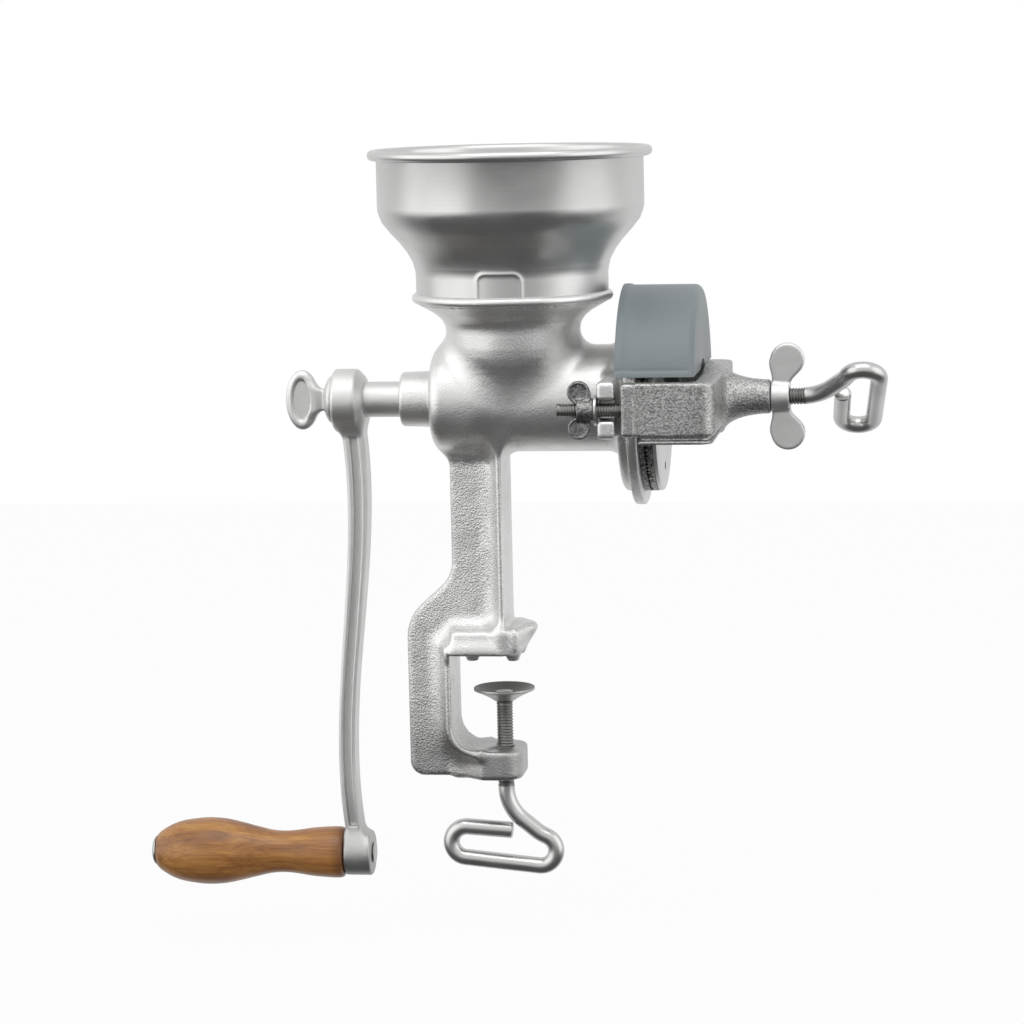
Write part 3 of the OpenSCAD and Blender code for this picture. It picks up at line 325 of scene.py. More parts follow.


# The last number paints shade low on the body: the C frame is darkened towards its foot, below that height in z.
rough_casting = tinned_iron("tinned_sand_cast_iron", "#e3e3e2", "#dcdcdb", 0.40, 0.9, 0.17, 0.094, 0.060, -0.036)
shaft_z, hopper_at = 124.5, 8.2  # height of the shaft and place of the hopper's axis along it, in mm
bolt_at, rod_hole = 56.5, 4.02   # yoke bolts to either side of the shaft, bore for the screw rods


def barrel_distance(x, y, z):
    """Turned about the shaft's axis: boss, barrel with rounded end, fillet, flange and face disc."""
    rho = np.hypot(y, z - shaft_z)
    sides = [(-40, -8), (-46, -8), (-46, 12.0), (-45, 12.9), (-31, 13.4), (-30.4, 14.0)]
    sides += arc((-24.4, 19.2), 6, 180, 90) + [(30, 25.2)] + arc((52.8, 33.2), 8, 270, 360)
    sides += arc((63.4, 41.4), 2.6, 180, 90, 6)
    sides += [(65.8, 44), (66.1, 44.6), (66.1, 49.9), (66.9, 50.5), (70.4, 50.5), (70.9, 50.0), (70.9, -8)]
    return outline(x, rho, sides)


def throat_distance(x, y, z):
    """Turned about the hopper's axis: waist, trumpet up to the collar, and the collar's bead."""
    rho, h = np.hypot(x - hopper_at, y), z - shaft_z
    sides = [(-8, 0)] + curve((17.6, 0), (27.7, 13.0), (31.7, 17), (31.7, 30), 8)
    sides += [(31.8, 33.0), (32.1, 35.2), (33.0, 37.4), (34.8, 39.6), (37.9, 42.0), (42.2, 44.4), (45.0, 46.0)]
    sides += arc((45.2, 48.7), 2.3, -70, 90, 8) + [(-8, 51)]
    return outline(rho, h, sides)


def web_sides():
    """Outline of the web in the upright plane of shaft and clamp screw."""
    sides = [(1.0, 112), (-23.5, 112)] + arc((-39.5, 46.8), 16, 0, -47)
    sides += arc((-24, 9.7), 22, 133, 180)
    return sides + arc((-39, -50.5), 7, 180, 270) + [(0, -57.5), (0, -43.5)] \
        + arc((-11.6, -31.5), 12, 270, 180) + [(-23.6, 3.4), (1.0, 3.4)]


def frame_distance(x, y, z):
    """Web, with a rib along its inner edge that swells out of it by a fillet as wide as it stands,
    and the jaw's block, kept off the clamp's opening and off the column's right face."""
    across = np.abs(y)
    plate = outline(x, z, web_sides())
    web = meet(plate, across - 5.5, 2.2)
    inner = [(-23.6, 3.4)] + arc((-11.6, -31.5), 12, 180, 270) + [(-9.5, -43.5)]
    rib = outline(x, z, [(0.4, 112), (3.1, 112), (3.1, 3.4)] + inner + [(-9.5, -46.2)]
                  + arc((-11.6, -31.5), 14.7, 270, 180) + [(-26.3, 6.1), (0.4, 6.1)])
    block = meet(outline(across, z, [(0, 3.4), (17.1, 3.4), (17.1, 13.5), (15.5, 15.0), (0, 15.0)]),
                 band(x, -23.0, 6.0), 2.0)
    opening = outline(x, z, inner + [(30, -43.5), (30, 3.4)])
    solid = join(join(web, meet(rib, across - 17, 1.1), 11.2), block, 7.0)
    right_face = np.minimum(x - 3.1, np.maximum(z - 15.5, x - 6.5))
    return np.maximum(np.maximum(solid, right_face), -opening)


def body_distance(x, y, z):
    """The whole casting: turned parts, frame, arm, jaw, feet and ears joined, then the bores."""
    across, h = np.abs(y), z - shaft_z
    rho, around = np.hypot(y, h), np.hypot(x - hopper_at, y)
    solid = join(barrel_distance(x, y, z), throat_distance(x, y, z), 8)
    arm = meet(outline(x, y, arc((0, 7.5), 9.5, 90, 0) + arc((0, -7.5), 9.5, 0, -90)
                       + [(-9.5, -17), (-24, -5.5), (-24, 5.5), (-9.5, 17)]), band(z, -57.5, -43.5), 1.8)
    nose_side = outline(x, z, [(-2, 3.4), (-2, 17.0)] + curve((3.0, 16.0), (9.0, 17.6), (17.4, 18.8), (18.0, 14.4), 8)
                        + [(9.4, 3.4)])
    nose_plan = outline(x, y, [(-2, 17.1), (9.0, 17.1)] + arc((10.4, 0), 8.0, 60, -60)
                        + [(9.0, -17.1), (-2, -17.1)])
    jaw = meet(nose_side, nose_plan, 4.2)
    base = join(join(frame_distance(x, y, z), arm, 4), jaw, 2.5)
    cone = [(0, 0.02), (2.3, 0.02), (2.75, 0.4), (4.4, 4.4), (5.6, 6.0), (0, 6.0)]
    for foot_at in (6.16, -13.4):
        base = join(base, outline(np.hypot(x - foot_at, across - 10.54), z, cone), 1.2)
    solid = join(solid, base, 7)
    ear = meet(meet(band(x, 54.1, 62.4), across - 60.4, 1.6), np.abs(h) - 13.2, 2.0)
    ear = cut(ear, np.maximum(51.65 - across, np.abs(h) - 4.85), 0.9)
    ear = np.maximum(ear, 20 - across)
    solid = join(solid, ear, 3.0)
    solid = cut(solid, drum(x, rho, -24.4, 90, 20.2, 0.5), 0.8)
    solid = cut(solid, rho - 8.5, 0.5)
    funnel = outline(around, h, [(-8, 5), (18, 5), (18, 26.5), (37.6, 46.6), (45.8, 47.0), (45.8, 60), (-8, 60)])
    solid = cut(solid, funnel, 0.6)
    return cut(solid, np.maximum(np.hypot(x, y) - rod_hole, z + 20), 0.6)


cast("mill_body", body_distance, (-46, -60.6, -57.6), (71, 60.6, 175.6), 1.15, "frame", rough_casting,
     ["body"])


# Hopper: a spun bowl of tinned sheet with a rolled rim, whose neck stands in the collar; two pressed
# tabs on the neck keep it from turning. The lathe leaves fine rings, and the slope has a crease at
# each end.
def ring_faces(rows, n):
    """Four-sided faces between each ring of n points and the next, for that many rings."""
    number = np.arange(rows * n).reshape(rows, n)
    a, b = number[:-1], number[1:]
    return np.stack([a, np.roll(a, -1, 1), np.roll(b, -1, 1), b], -1).reshape(-1, 4)


def turned(name, profile, base, axis, body, material, replaces=(), n=160, relief=None, sharp=35):
    """Surface swept by a profile of (along, radius) turned about an axis through base: each point
    goes to radius times the cosine and sine of the turn. Points at radius 0 close the ends."""
    profile = np.array(profile, float)
    turn = np.linspace(0, 2 * np.pi, n, endpoint=False)
    along = np.repeat(profile[:, :1], n, 1)
    radius = np.repeat(profile[:, 1:], n, 1)
    angle = np.repeat(turn[None], len(profile), 0)
    if relief is not None:
        along, radius = relief(along, radius, angle)
    spare = {0: (1, 2), 2: (0, 1)}[axis]
    points = np.zeros((len(profile), n, 3))
    points[..., axis] = along
    points[..., spare[0]] = radius * np.cos(angle)
    points[..., spare[1]] = radius * np.sin(angle)
    points += np.array(base, float)
    faces = ring_faces(len(profile), n)
    if np.allclose(profile[0], profile[-1]):
        faces = faces % ((len(profile) - 1) * n)
        points = points[:-1]
    close_up(place(name, points.reshape(-1, 3), faces, body, material, replaces), sharp)


def close_up(piece, sharp):
    """Merges points that lie on each other, turns the faces outwards and keeps the sharp edges."""
    work = bmesh.new()
    work.from_mesh(piece.data)
    bmesh.ops.remove_doubles(work, verts=work.verts, dist=2e-6)
    bmesh.ops.recalc_face_normals(work, faces=work.faces)
    work.to_mesh(piece.data)
    work.free()
    piece.data.set_sharp_from_angle(angle=math.radians(sharp))


def plain_tin(name, colour, rough, ring, lift):
    """Tin on steel sheet or rod: bright and even, with marks round its axis `ring` mm apart, wider
    than the real ones so that they show, and clouds of thicker tin about 26 mm across."""
    material, tree = blank(name)
    spot = add(tree, "ShaderNodeTexCoord").outputs["Object"]
    stretch = add(tree, "ShaderNodeMapping", [("Vector", spot), ("Scale", (90.0, 90.0, 1000 / ring))])
    marks = add(tree, "ShaderNodeTexNoise", [("Vector", stretch.outputs[0]), ("Scale", 1.0), ("Detail", 2.0)])
    cloud = add(tree, "ShaderNodeTexNoise", [("Vector", spot), ("Scale", 1000 / 26), ("Detail", 3.0)])
    bump = add(tree, "ShaderNodeBump", [("Height", marks.outputs[0]), ("Distance", lift / 1000), ("Strength", 1.0)])
    gloss = add(tree, "ShaderNodeMapRange", [(0, cloud.outputs[0]), (1, 0.35), (2, 0.65), (3, rough - 0.05),
                                             (4, rough + 0.07)])
    skin = add(tree, "ShaderNodeBsdfPrincipled", [("Base Color", linear(colour)), ("Metallic", 1.0),
               ("Roughness", gloss.outputs[0]), ("Normal", bump.outputs[0])])
    add(tree, "ShaderNodeOutputMaterial", [(0, skin.outputs[0])])
    return material


spun_tin = plain_tin("spun_tinned_sheet", "#d2d2d1", 0.34, 1.2, 0.02)
collar_z, neck_r = 175.5, 45.5


def pressed_tabs(along, radius, angle):
    """Presses two arched tabs out of the neck, front and back: a low panel with a ridge round it."""
    for side in (-1, 1):
        across = (angle - side * np.pi / 2 + np.pi) % (2 * np.pi) - np.pi
        flat = np.abs(across) * neck_r
        edge = np.hypot(np.maximum(flat - 6.4, 0), np.maximum(along - (collar_z + 7.0), 0)) - 4.2
        neck = (along > collar_z - 2) * (radius > 44.9)
        panel = np.clip(0.5 - edge / 0.9, 0, 1) * neck
        ridge = np.exp(-(edge / 1.0) ** 2) * neck
        radius = radius + 0.35 * panel + 0.4 * ridge
    return along, radius


wall = [(171.8, neck_r), (175.2, neck_r), (175.6, neck_r)]
wall += [(175.6 + k, neck_r + 0.0125 * max(k - 8, 0) ** 2 * 3) for k in np.arange(0.4, 13.2, 0.4)]
wall += [(collar_z + a, r) for a, r in ((14.6, 46.7), (19.4, 49.3), (24.0, 52.8), (28.7, 57.1), (33.5, 60.9),
                                        (37.2, 62.3))]
wall += [(collar_z + 39.2, 62.9), (collar_z + 41, 63.0), (238.6, 63.0), (239.2, 63.2)]
bead = [(shaft_z + 48.7 + 2.4 * math.sin(math.radians(t)), 45.2 + 2.4 * math.cos(math.radians(t)))
        for t in range(0, 360, 20)]
turned("collar_bead", bead + bead[:1], (hopper_at, 0, 0), 2, "frame", rough_casting, (), 160)
rim = [(240.7 + 2.4 * math.sin(math.radians(t)), 64.8 + 2.4 * math.cos(math.radians(t)))
       for t in range(-120, 200, 20)]
inner = [(a, r - 0.9) for a, r in reversed(wall[:-2])]
turned("hopper_bowl", wall + rim + [(238.2, 62.1)] + inner + [wall[0]], (hopper_at, 0, 0), 2, "hopper", spun_tin,
       ["hopper"], 512, pressed_tabs, 30)


# Yoke: a casting like the body, a U with end blocks for the bolts, a ledge under its arms and a
# nose that takes the adjusting screw.
def yoke_distance(x, y, z):
    """U-shaped bar and its ledge, end blocks with pockets, and the bell and nose turned about the shaft."""
    across, h = np.abs(y), z - shaft_z
    rho = np.hypot(y, h)
    outer = outline(x, across, [(71.2, -20)] + [(107.8, -20)] + arc((100.3, 52.5), 7.5, 0, 90) + [(71.2, 60)])
    inner = outline(x, across, [(60, -20)] + [(98.0, -20)] + arc((93.5, 48.5), 4.5, 0, 90) + [(60, 53)])
    plan = cut(outer, inner, 1.0)
    bar = meet(plan, np.abs(h) - 12.35, 1.2)
    ledge = meet(plan + 1.3, band(h, -15.9, -14.2), 0.25)
    web = meet(plan + 2.6, band(h, -15.0, -11.0), 0.3)
    block = meet(meet(band(x, 65.1, 71.4), band(across, 51.7, 61.1), 1.5), np.abs(h) - 12.35, 1.8)
    lug = np.maximum(band(x, 70.9, 77.3), np.maximum(band(across, 46.0, 54.0), np.abs(h) - 9.7))
    solid = join(np.minimum(join(bar, web, 0.4), ledge), block, 0.8)
    solid = join(solid, lug, 1.2)
    bell = [(98.0, -8), (98.0, 16.2 - 1), (99, 16.2)]
    bell += curve((102.9, 16.2), (106, 16.2), (106.9, 15.2), (108.2, 13.8), 6)
    bell += curve((108.2, 13.8), (112.4, 10.4), (118.7, 8.2), (129.2, 8.0), 8) + [(129.6, 7.5), (129.6, -8)]
    solid = join(solid, outline(x, rho, bell), 3.5)
    solid = cut(solid, np.maximum(np.hypot(across - bolt_at, h) - 3.25, x - 72), 0.5)
    return cut(solid, np.maximum(rho - rod_hole, 97 - x), 0.5)


dark_casting = tinned_iron("tinned_yoke_iron", "#cacac9", "#848483", 0.42, 0.85, 0.08)
cast("screw_yoke", yoke_distance, (61, -61.2, 108.4), (130, 61.2, 141), 0.85, "frame", dark_casting,
     ["yoke"])


# Crank arm: a casting with a square-holed hub, a bowed arm of I section and a boss for the grip's
# bolt, tinned like the body.
# The last number paints shade low on the crank: the arm is darkened towards the grip's boss, below that height in z.
smooth_casting = tinned_iron("tinned_fine_cast_iron", "#e0e0df", "#e0e0df", 0.50, 0.8, 0.08, -9.0, 9.0, -0.088)
throw = 221.3  # from the shaft's axis down to the grip's, in mm


def arm_middle(z):
    """Where the arm's middle runs along the shaft's direction at height z: a cubic curve in z, the
    Bernstein sum of its two ends and the two points between that bow it."""
    k = np.clip((shaft_z - z) / throw, 0, 1)
    return -72.17 * (1 - k) ** 3 + -57.57 * 3 * k * (1 - k) ** 2 + -87.55 * 3 * k * k * (1 - k) + -72.41 * k ** 3


def crank_distance(x, y, z):
    """Hub, boss and the arm between them, whose two faces are grooved, then the square hole."""
    across, h, low = np.abs(y), z - shaft_z, z - (shaft_z - throw)
    k = np.clip(-h / throw, 0, 1)
    side = np.abs(x - arm_middle(z))
    half = 5.4 - 1.4 * np.minimum(k * 1.6, 1)
    arm = meet(meet(side - half, across - 6.5, 1.5), band(h, -219.5, -4), 1.0)
    groove = np.maximum(meet(side - 1.75, 3.0 - across, 0.3), band(h, -207, -17.5))
    arm = cut(arm, groove, 0.9)
    hub = outline(x, np.hypot(y, h), [(-78.9, -8), (-78.9, 13.2), (-78.5, 14.1), (-77.6, 14.7), (-68.2, 14.7),
                                      (-67.2, 14.4), (-64.2, 11.4), (-63.6, 10.4), (-63.6, -8)])
    boss = drum(x, np.hypot(y, low), -79.5, -66.2, 11.0, 1.3)
    solid = join(join(arm, hub, 5.0), boss, 4.0)
    solid = cut(solid, np.maximum(across, np.abs(h)) - 6.05, 0.4)
    return cut(solid, np.hypot(y, low) - 3.75, 0.5)


cast("crank_casting", crank_distance, (-80.5, -15, -109), (-62.5, 15, 139.5), 0.75, "crankshaft", smooth_casting,
     ["crank_arm"])


# Thumb screw of the crank: a cast oval grip with a hollow in each face, on a neck and a collar, and
# a shank that screws into the shaft's end and holds the crank on it.
def thumb_distance(x, y, z):
    """Oval with rounded rim and hollowed faces, neck and domed collar turned about the shaft."""
    across, h = np.abs(y), z - shaft_z
    oval = (np.hypot((x + 94.4) / 8.0, h / 14.2) - 1) * 8.0
    tab = meet(oval, across - 2.5, 1.4)
    hollow = (np.hypot((x + 94.6) / 4.4, h / 9.6) - 1) * 4.4
    neck_h = 5.2 + 0.055 * (x + 84.6) ** 2
    neck = np.maximum(meet(np.abs(h) - neck_h, across - 2.5, 1.2), band(x, -90.5, -80.5))
    tab = join(tab, neck, 3.0)
    tab = cut(tab, np.maximum(hollow, 1.5 - across), 0.5)
    tab = join(tab, np.maximum(np.abs(hollow - 0.9) - 0.35, across - 2.75), 0.6)
    collar = outline(x, np.hypot(y, h), [(-83.5, -6), (-83.3, 4), (-82.6, 8), (-81.2, 10.6), (-80.0, 11.5),
                                         (-79.2, 11.6), (-79.2, -6)])
    shank = drum(x, np.hypot(y, h), -82, -65.6, 3.97, 0.3)
    return np.minimum(join(tab, collar, 1.6), shank)


cast("crank_thumb_screw_cast", thumb_distance, (-102.6, -11.8, 109.9), (-65, 11.8, 139.1), 0.5, "thumb_screw",
     smooth_casting, ["crank_thumb_screw"])


# Wing nuts: cast hubs with two paddle wings that lean away from the seat. The lock nut's are flat,
# and the yoke nuts' are dished, their colour painted darker all over as painted shade for their hollows.
def wing_distance(s, t, w, hub_r, hub_len, wing_r, span, hole_r, thick, dish):
    """Hub along s from its seat at 0, wings in the s-t plane: a round paddle and a tapering neck."""
    across = np.abs(t)
    hub = meet(np.hypot(t, w) - (hub_r - 0.1 * hub_r * s / hub_len), band(s, 0, hub_len), 0.7)
    c = span / 2 - wing_r
    at = (hub_len * 0.9, c)
    paddle = np.hypot(s - at[0], across - at[1]) - wing_r
    neck = outline(s, across, [(0.3, 0), (hub_len * 0.96, 0), (at[0] + wing_r * 0.25, c - wing_r * 0.72),
                               (at[0] - wing_r * 0.9, c - wing_r * 0.2)])
    flat = join(paddle, neck, wing_r * 0.45)
    wing = meet(flat, np.abs(w) - thick, 1.1)
    if dish:
        wing = cut(wing, np.maximum(paddle + 1.3, thick - dish - np.abs(w)), 0.4)
    return cut(join(wing, hub, 1.2), np.maximum(np.hypot(t, w) - hole_r, -20 - s), 0.3)


def lock_nut(x, y, z):
    """The lock nut stands on the yoke's nose with its wings upright."""
    return wing_distance(x - 129.9, z - shaft_z, y, 7.0, 8.6, 8.0, 50.4, 4.05, 2.3, 0)


cast("lock_nut_cast", lock_nut, (129.9, -7.2, 99), (146, 7.2, 150), 0.5, "lock_nut", smooth_casting,
     ["lock_wing_nut"])
# Painted shade: the yoke nuts' tin is coloured darker all over, for the shade in their dished wings.
dished_casting_painted_shade = tinned_iron("tinned_dished_cast_iron_painted_shade", "#a0a09f", "#5a5a59", 0.40, 1.0, 0.06)
for end, axis_y in (("front", -bolt_at), ("rear", bolt_at)):
    def yoke_nut(x, y, z):
        """The yoke's nut stands on its washer with its wings upright."""
        return wing_distance(52.6 - x, z - shaft_z, y - axis_y, 5.4, 7.8, 5.2, 27.0, 3.25, 1.8, 0.9)

    cast(end + "_nut_cast", yoke_nut, (40, axis_y - 5.6, 110), (52.8, axis_y + 5.6, 139), 0.4, end + "_nut",
         dished_casting_painted_shade, [end + "_wing_nut"])


# Shaft with the feed worm, cast and left rough, its square end in the crank's hub. Where no surface
# here replaces them, the model's own solids stay in sight and are given their finish.
def finish_solids(parts, material):
    """Gives these solids that material in place of their own."""
    for part in parts:
        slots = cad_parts[part].data.materials
        slots.clear()
        slots.append(material)


finish_solids(["auger"], smooth_casting)


# Burr plates, hard grey iron as it came from the mould, with grinding grooves from the hole to the
# rim, a holder turned bright on its back, and the pin that drives it.
burr_iron = tinned_iron("bare_grey_iron", "#b8b8b6", "#30302f", 0.42, 1.5, 0.10)
turned_tin = plain_tin("turned_tinned_iron", "#dededd", 0.42, 0.5, 0.008)


def grooves(face, way, count=110):
    """Sinks the face by a saw tooth of that many grooves a turn, deepest at the rim."""
    def sink(along, radius, angle):
        wave = np.abs((angle * count / (2 * np.pi)) % 1 - 0.5) * 2
        deep = 0.9 * np.clip((radius - 24) / 20, 0, 1) * np.clip(1.6 * wave - 0.6, 0, 1)
        return along + way * deep * (np.abs(along - face) < 0.05), radius
    return sink


def plate(name, low, high, face, way, node):
    """Flat ring between low and high along the shaft, grooved on its face, with its back the given
    way from the face."""
    ring = [(face, r) for r in (21.2, 24, 30, 36, 41, 43.6, 44.0)]
    other = low if face == high else high
    ring += [(face + way * 0.95, 44.0), (other - way * 0.4, 44.0), (other, 43.6), (other, 21.2), (face, 21.2)]
    turned(name, ring, (0, 0, shaft_z), 0, "crankshaft" if way > 0 else "frame", burr_iron, [node], 660,
           grooves(face, way), 30)


plate("turning_burr_plate", 74.2, 77.2, 74.2, 1, "rotating_burr")
plate("fixed_burr_plate", 70.9, 73.8, 73.8, -1, "fixed_burr")
holder = [(77.2, 8.6), (77.2, 43.3), (77.5, 43.8), (78.7, 43.8), (79.1, 43.6), (79.4, 43.0), (79.4, 12.6)] \
    + arc((80.8, 12.4), 1.4, 180, 270, 4) + [(86.6, 11.0), (87.2, 10.8), (87.4, 10.2), (87.4, 8.6), (77.2, 8.6)]
turned("burr_holder_disc", holder, (0, 0, shaft_z), 0, "crankshaft", turned_tin, ["burr_holder"], 160)
bright_steel = plain_tin("tinned_steel_rod", "#cbcbca", 0.30, 3.0, 0.006)
finish_solids(["drive_pin", "rotating_burr_screws", "fixed_burr_screws", "thrust_ball", "front_washer",
               "rear_washer"], bright_steel)


# Bolts of the yoke: steel, with a rolled thread on the shank, and a T head let into the pocket of
# the yoke's end.
def thread(pitch, depth, start, stop):
    """Lowers the radius by a rounded V of that depth that climbs one pitch a turn."""
    def roll(along, radius, angle):
        wave = (along / pitch - angle / (2 * np.pi)) % 1
        vee = 0.5 - 0.5 * np.cos(2 * np.pi * wave)
        fade = np.clip((along - start) / pitch, 0, 1) * np.clip((stop - along) / pitch, 0, 1)
        return along, radius - depth * vee * fade * (radius > 1.5)
    return roll


threaded_steel = plain_tin("threaded_steel", "#858583", 0.38, 3.0, 0.006)
for end, axis_y in (("front", -bolt_at), ("rear", bolt_at)):
    def t_head(x, y, z):
        """Flat bar across the shank's end, its long side upright."""
        return meet(meet(band(x, 71.5, 74.5), np.abs(y - axis_y) - 3.1, 0.5), np.abs(z - shaft_z) - 5.0, 0.5)

    rings = [(35.4, 0.0), (35.4, 2.6), (35.8, 3.1)] + [(36.0 + k, 3.175) for k in np.arange(0, 33.6, 0.16)]
    rings += [(70.0, 3.175), (73.9, 3.175), (73.9, 0.0)]
    turned(end + "_bolt_shank", rings, (0, axis_y, shaft_z), 0, "frame", threaded_steel, (), 32,
           thread(1.27, 0.42, 36.2, 69.0), 60)
    cast(end + "_bolt_head", t_head, (71.4, axis_y - 3.3, 119), (74.6, axis_y + 3.3, 130), 0.35, "frame",
         smooth_casting, [end + "_yoke_bolt"])


# Adjusting screw and clamp screw: round steel rod, threaded, and bent at its end into a flat loop
# that serves as the handle.
def rod_line(steps, fine):
    """Points about `fine` apart on straight runs and bends in a plane, their headings in degrees and
    the lengths so far. Each step is a run's length, then a bend's radius and angle, clockwise."""
    at, heading, points, ways, gone, done = np.zeros(2), 90.0, [], [], [], 0.0
    for length, radius, bend in steps:
        t = np.arange(0, length, fine)
        way = np.array([math.cos(math.radians(heading)), math.sin(math.radians(heading))])
        points.append(at + t[:, None] * way)
        ways.append(np.full(len(t), heading))
        gone.append(done + t)
        at, done = at + way * length, done + length
        if bend:
            side = math.copysign(1, bend)
            centre = at + side * radius * np.array([way[1], -way[0]])
            turn = np.radians(np.arange(0, abs(bend), math.degrees(fine / radius)))
            start = at - centre
            c, s = np.cos(-side * turn), np.sin(-side * turn)
            points.append(centre + np.stack([start[0] * c - start[1] * s, start[0] * s + start[1] * c], 1))
            ways.append(heading - side * np.degrees(turn))
            gone.append(done + turn * radius)
            last = math.radians(abs(bend)) * -side
            c, s = math.cos(last), math.sin(last)
            at = centre + np.array([start[0] * c - start[1] * s, start[0] * s + start[1] * c])
            heading, done = heading - bend, done + math.radians(abs(bend)) * radius
    points.append(at[None])
    ways.append(np.array([heading]))
    gone.append(np.array([done]))
    return np.concatenate(points), np.concatenate(ways), np.concatenate(gone)


def loop_rod(name, steps, to_place, body, threads, node, tip, sides=32):
    """Tube along the rod's line: each ring is radius times cosine in the plane and sine across it.
    The rings stand close on the thread, and only every fifth is kept past it."""
    line, way, gone = rod_line(steps, 0.17)
    keep = np.ones(len(gone), bool)
    smooth = (gone > threads[1] + 1.5) & (gone < gone[-1] - 1)
    keep[smooth] = np.arange(smooth.sum()) % 5 == 0
    line, way, gone = line[keep], way[keep], gone[keep]
    around = np.linspace(0, 2 * np.pi, sides, endpoint=False)
    r = np.full((len(gone), sides), 3.97)
    _, r = thread(1.411, 0.5, *threads)(gone[:, None] + 0 * r, r, around[None] + 0 * r)
    r = r - np.maximum(0, 0.8 - (gone[-1] - gone))[:, None] ** 2 - tip * np.maximum(0, 0.8 - gone)[:, None] ** 2
    normal = np.stack([-np.sin(np.radians(way)), np.cos(np.radians(way))], 1)
    flat = line[:, None] + r[..., None] * np.cos(around)[None, :, None] * normal[:, None]
    local = np.stack([flat[..., 0], r * np.sin(around)[None], flat[..., 1]], -1)
    ends = [np.repeat(np.array([[[line[i, 0], 0, line[i, 1]]]]), sides, 1) for i in (0, -1)]
    points = to_place(np.concatenate([ends[0], local, ends[1]]))
    piece = place(name, points.reshape(-1, 3), ring_faces(len(points), sides), body, bright_steel, [node])
    piece.data.materials.append(threaded_steel)
    threaded = np.repeat(np.concatenate([[0], gone]) < threads[1], sides)
    piece.data.polygons.foreach_set("material_index", threaded.astype(np.int32))
    close_up(piece, 50)


def along_shaft(p):
    """Lays the rod's line along the shaft, its loop turned 54 degrees about it."""
    return np.stack([89.02 + p[..., 2], 0.588 * p[..., 1] - 0.809 * p[..., 0],
                     shaft_z + 0.588 * p[..., 0] + 0.809 * p[..., 1]], -1)


def down_clamp(p):
    """Hangs the rod's line from the clamp pad, its loop in the plane of the C frame."""
    return np.stack([p[..., 0], -p[..., 1], -21.4 - p[..., 2]], -1)


loop = [(8.6, 20, 14), (0.99, 7.6, -161), (36, 7.6, -178), (22, 0, 0)]
loop_rod("adjusting_screw_rod", [(53.48, 20, 51)] + loop, along_shaft, "adjuster", (1.0, 57.5), "adjusting_screw", 0)
loop_rod("clamp_screw_rod", [(42.6, 20, 51)] + loop, down_clamp, "clamp", (0.5, 41.5), "clamp_screw", 1)


# Clamp pad: a dished steel cup that turns on the screw, whose tip is peened over in four quarters.
# The hollow of the cup, which faces up, is painted darker by the way its surface faces, a painted shade.
dish = [(-21.1, 2.9), (-21.1, 5.0)] + curve((-21.1, 5.1), (-18.8, 7.9), (-16.6, 13.3), (-16.0, 14.6), 10)
dish += [(-15.4, 14.7), (-14.8, 14.6), (-14.6, 14.2), (-14.6, 13.6), (-14.9, 13.2)]
dish += curve((-15.2, 12.6), (-17.0, 9.5), (-18.0, 7.2), (-18.1, 5.5), 8) + [(-18.1, 2.9), (-21.1, 2.9)]
dull_tin = plain_tin("stamped_tinned_steel", "#b9b9b7", 0.33, 1.2, 0.012)
cup_tin_painted_shade = plain_tin("tinned_steel_painted_shade", "#b9b9b7", 0.38, 1.2, 0.012)
tree = cup_tin_painted_shade.node_tree
# Painted shade: faces that point up, in the cup's hollow, are mixed towards #6c6c6a.
facing_up = add(tree, "ShaderNodeSeparateXYZ", [(0, add(tree, "ShaderNodeNewGeometry").outputs["Normal"])])
hollow = add(tree, "ShaderNodeMapRange", [(0, facing_up.outputs["Z"]), (1, 0.2), (2, 0.7), (3, 0.0), (4, 1.0)])
stain_and_shade = add(tree, "ShaderNodeMix", [(0, hollow.outputs[0]), (6, linear("#b9b9b7")), (7, linear("#6c6c6a"))],
            data_type="RGBA")
tree.links.new(stain_and_shade.outputs[2], next(n for n in tree.nodes if n.type == "BSDF_PRINCIPLED").inputs["Base Color"])
turned("clamp_pad_cup", dish, (0, 0, 0), 2, "pad", cup_tin_painted_shade, ["clamp_pad"], 96, None, 40)


def peened(x, y, z):
    """Low button on the tip, split by two crossed chisel marks."""
    button = meet(np.hypot(x, y) - 4.3, band(z, -18.1, -16.7), 0.5)
    return cut(button, np.maximum(np.minimum(np.abs(x + y), np.abs(x - y)) - 0.45, -17.4 - z), 0.2)


cast("clamp_screw_tip", peened, (-4.6, -4.6, -18.4), (4.6, 4.6, -16.4), 0.3, "clamp", dull_tin)


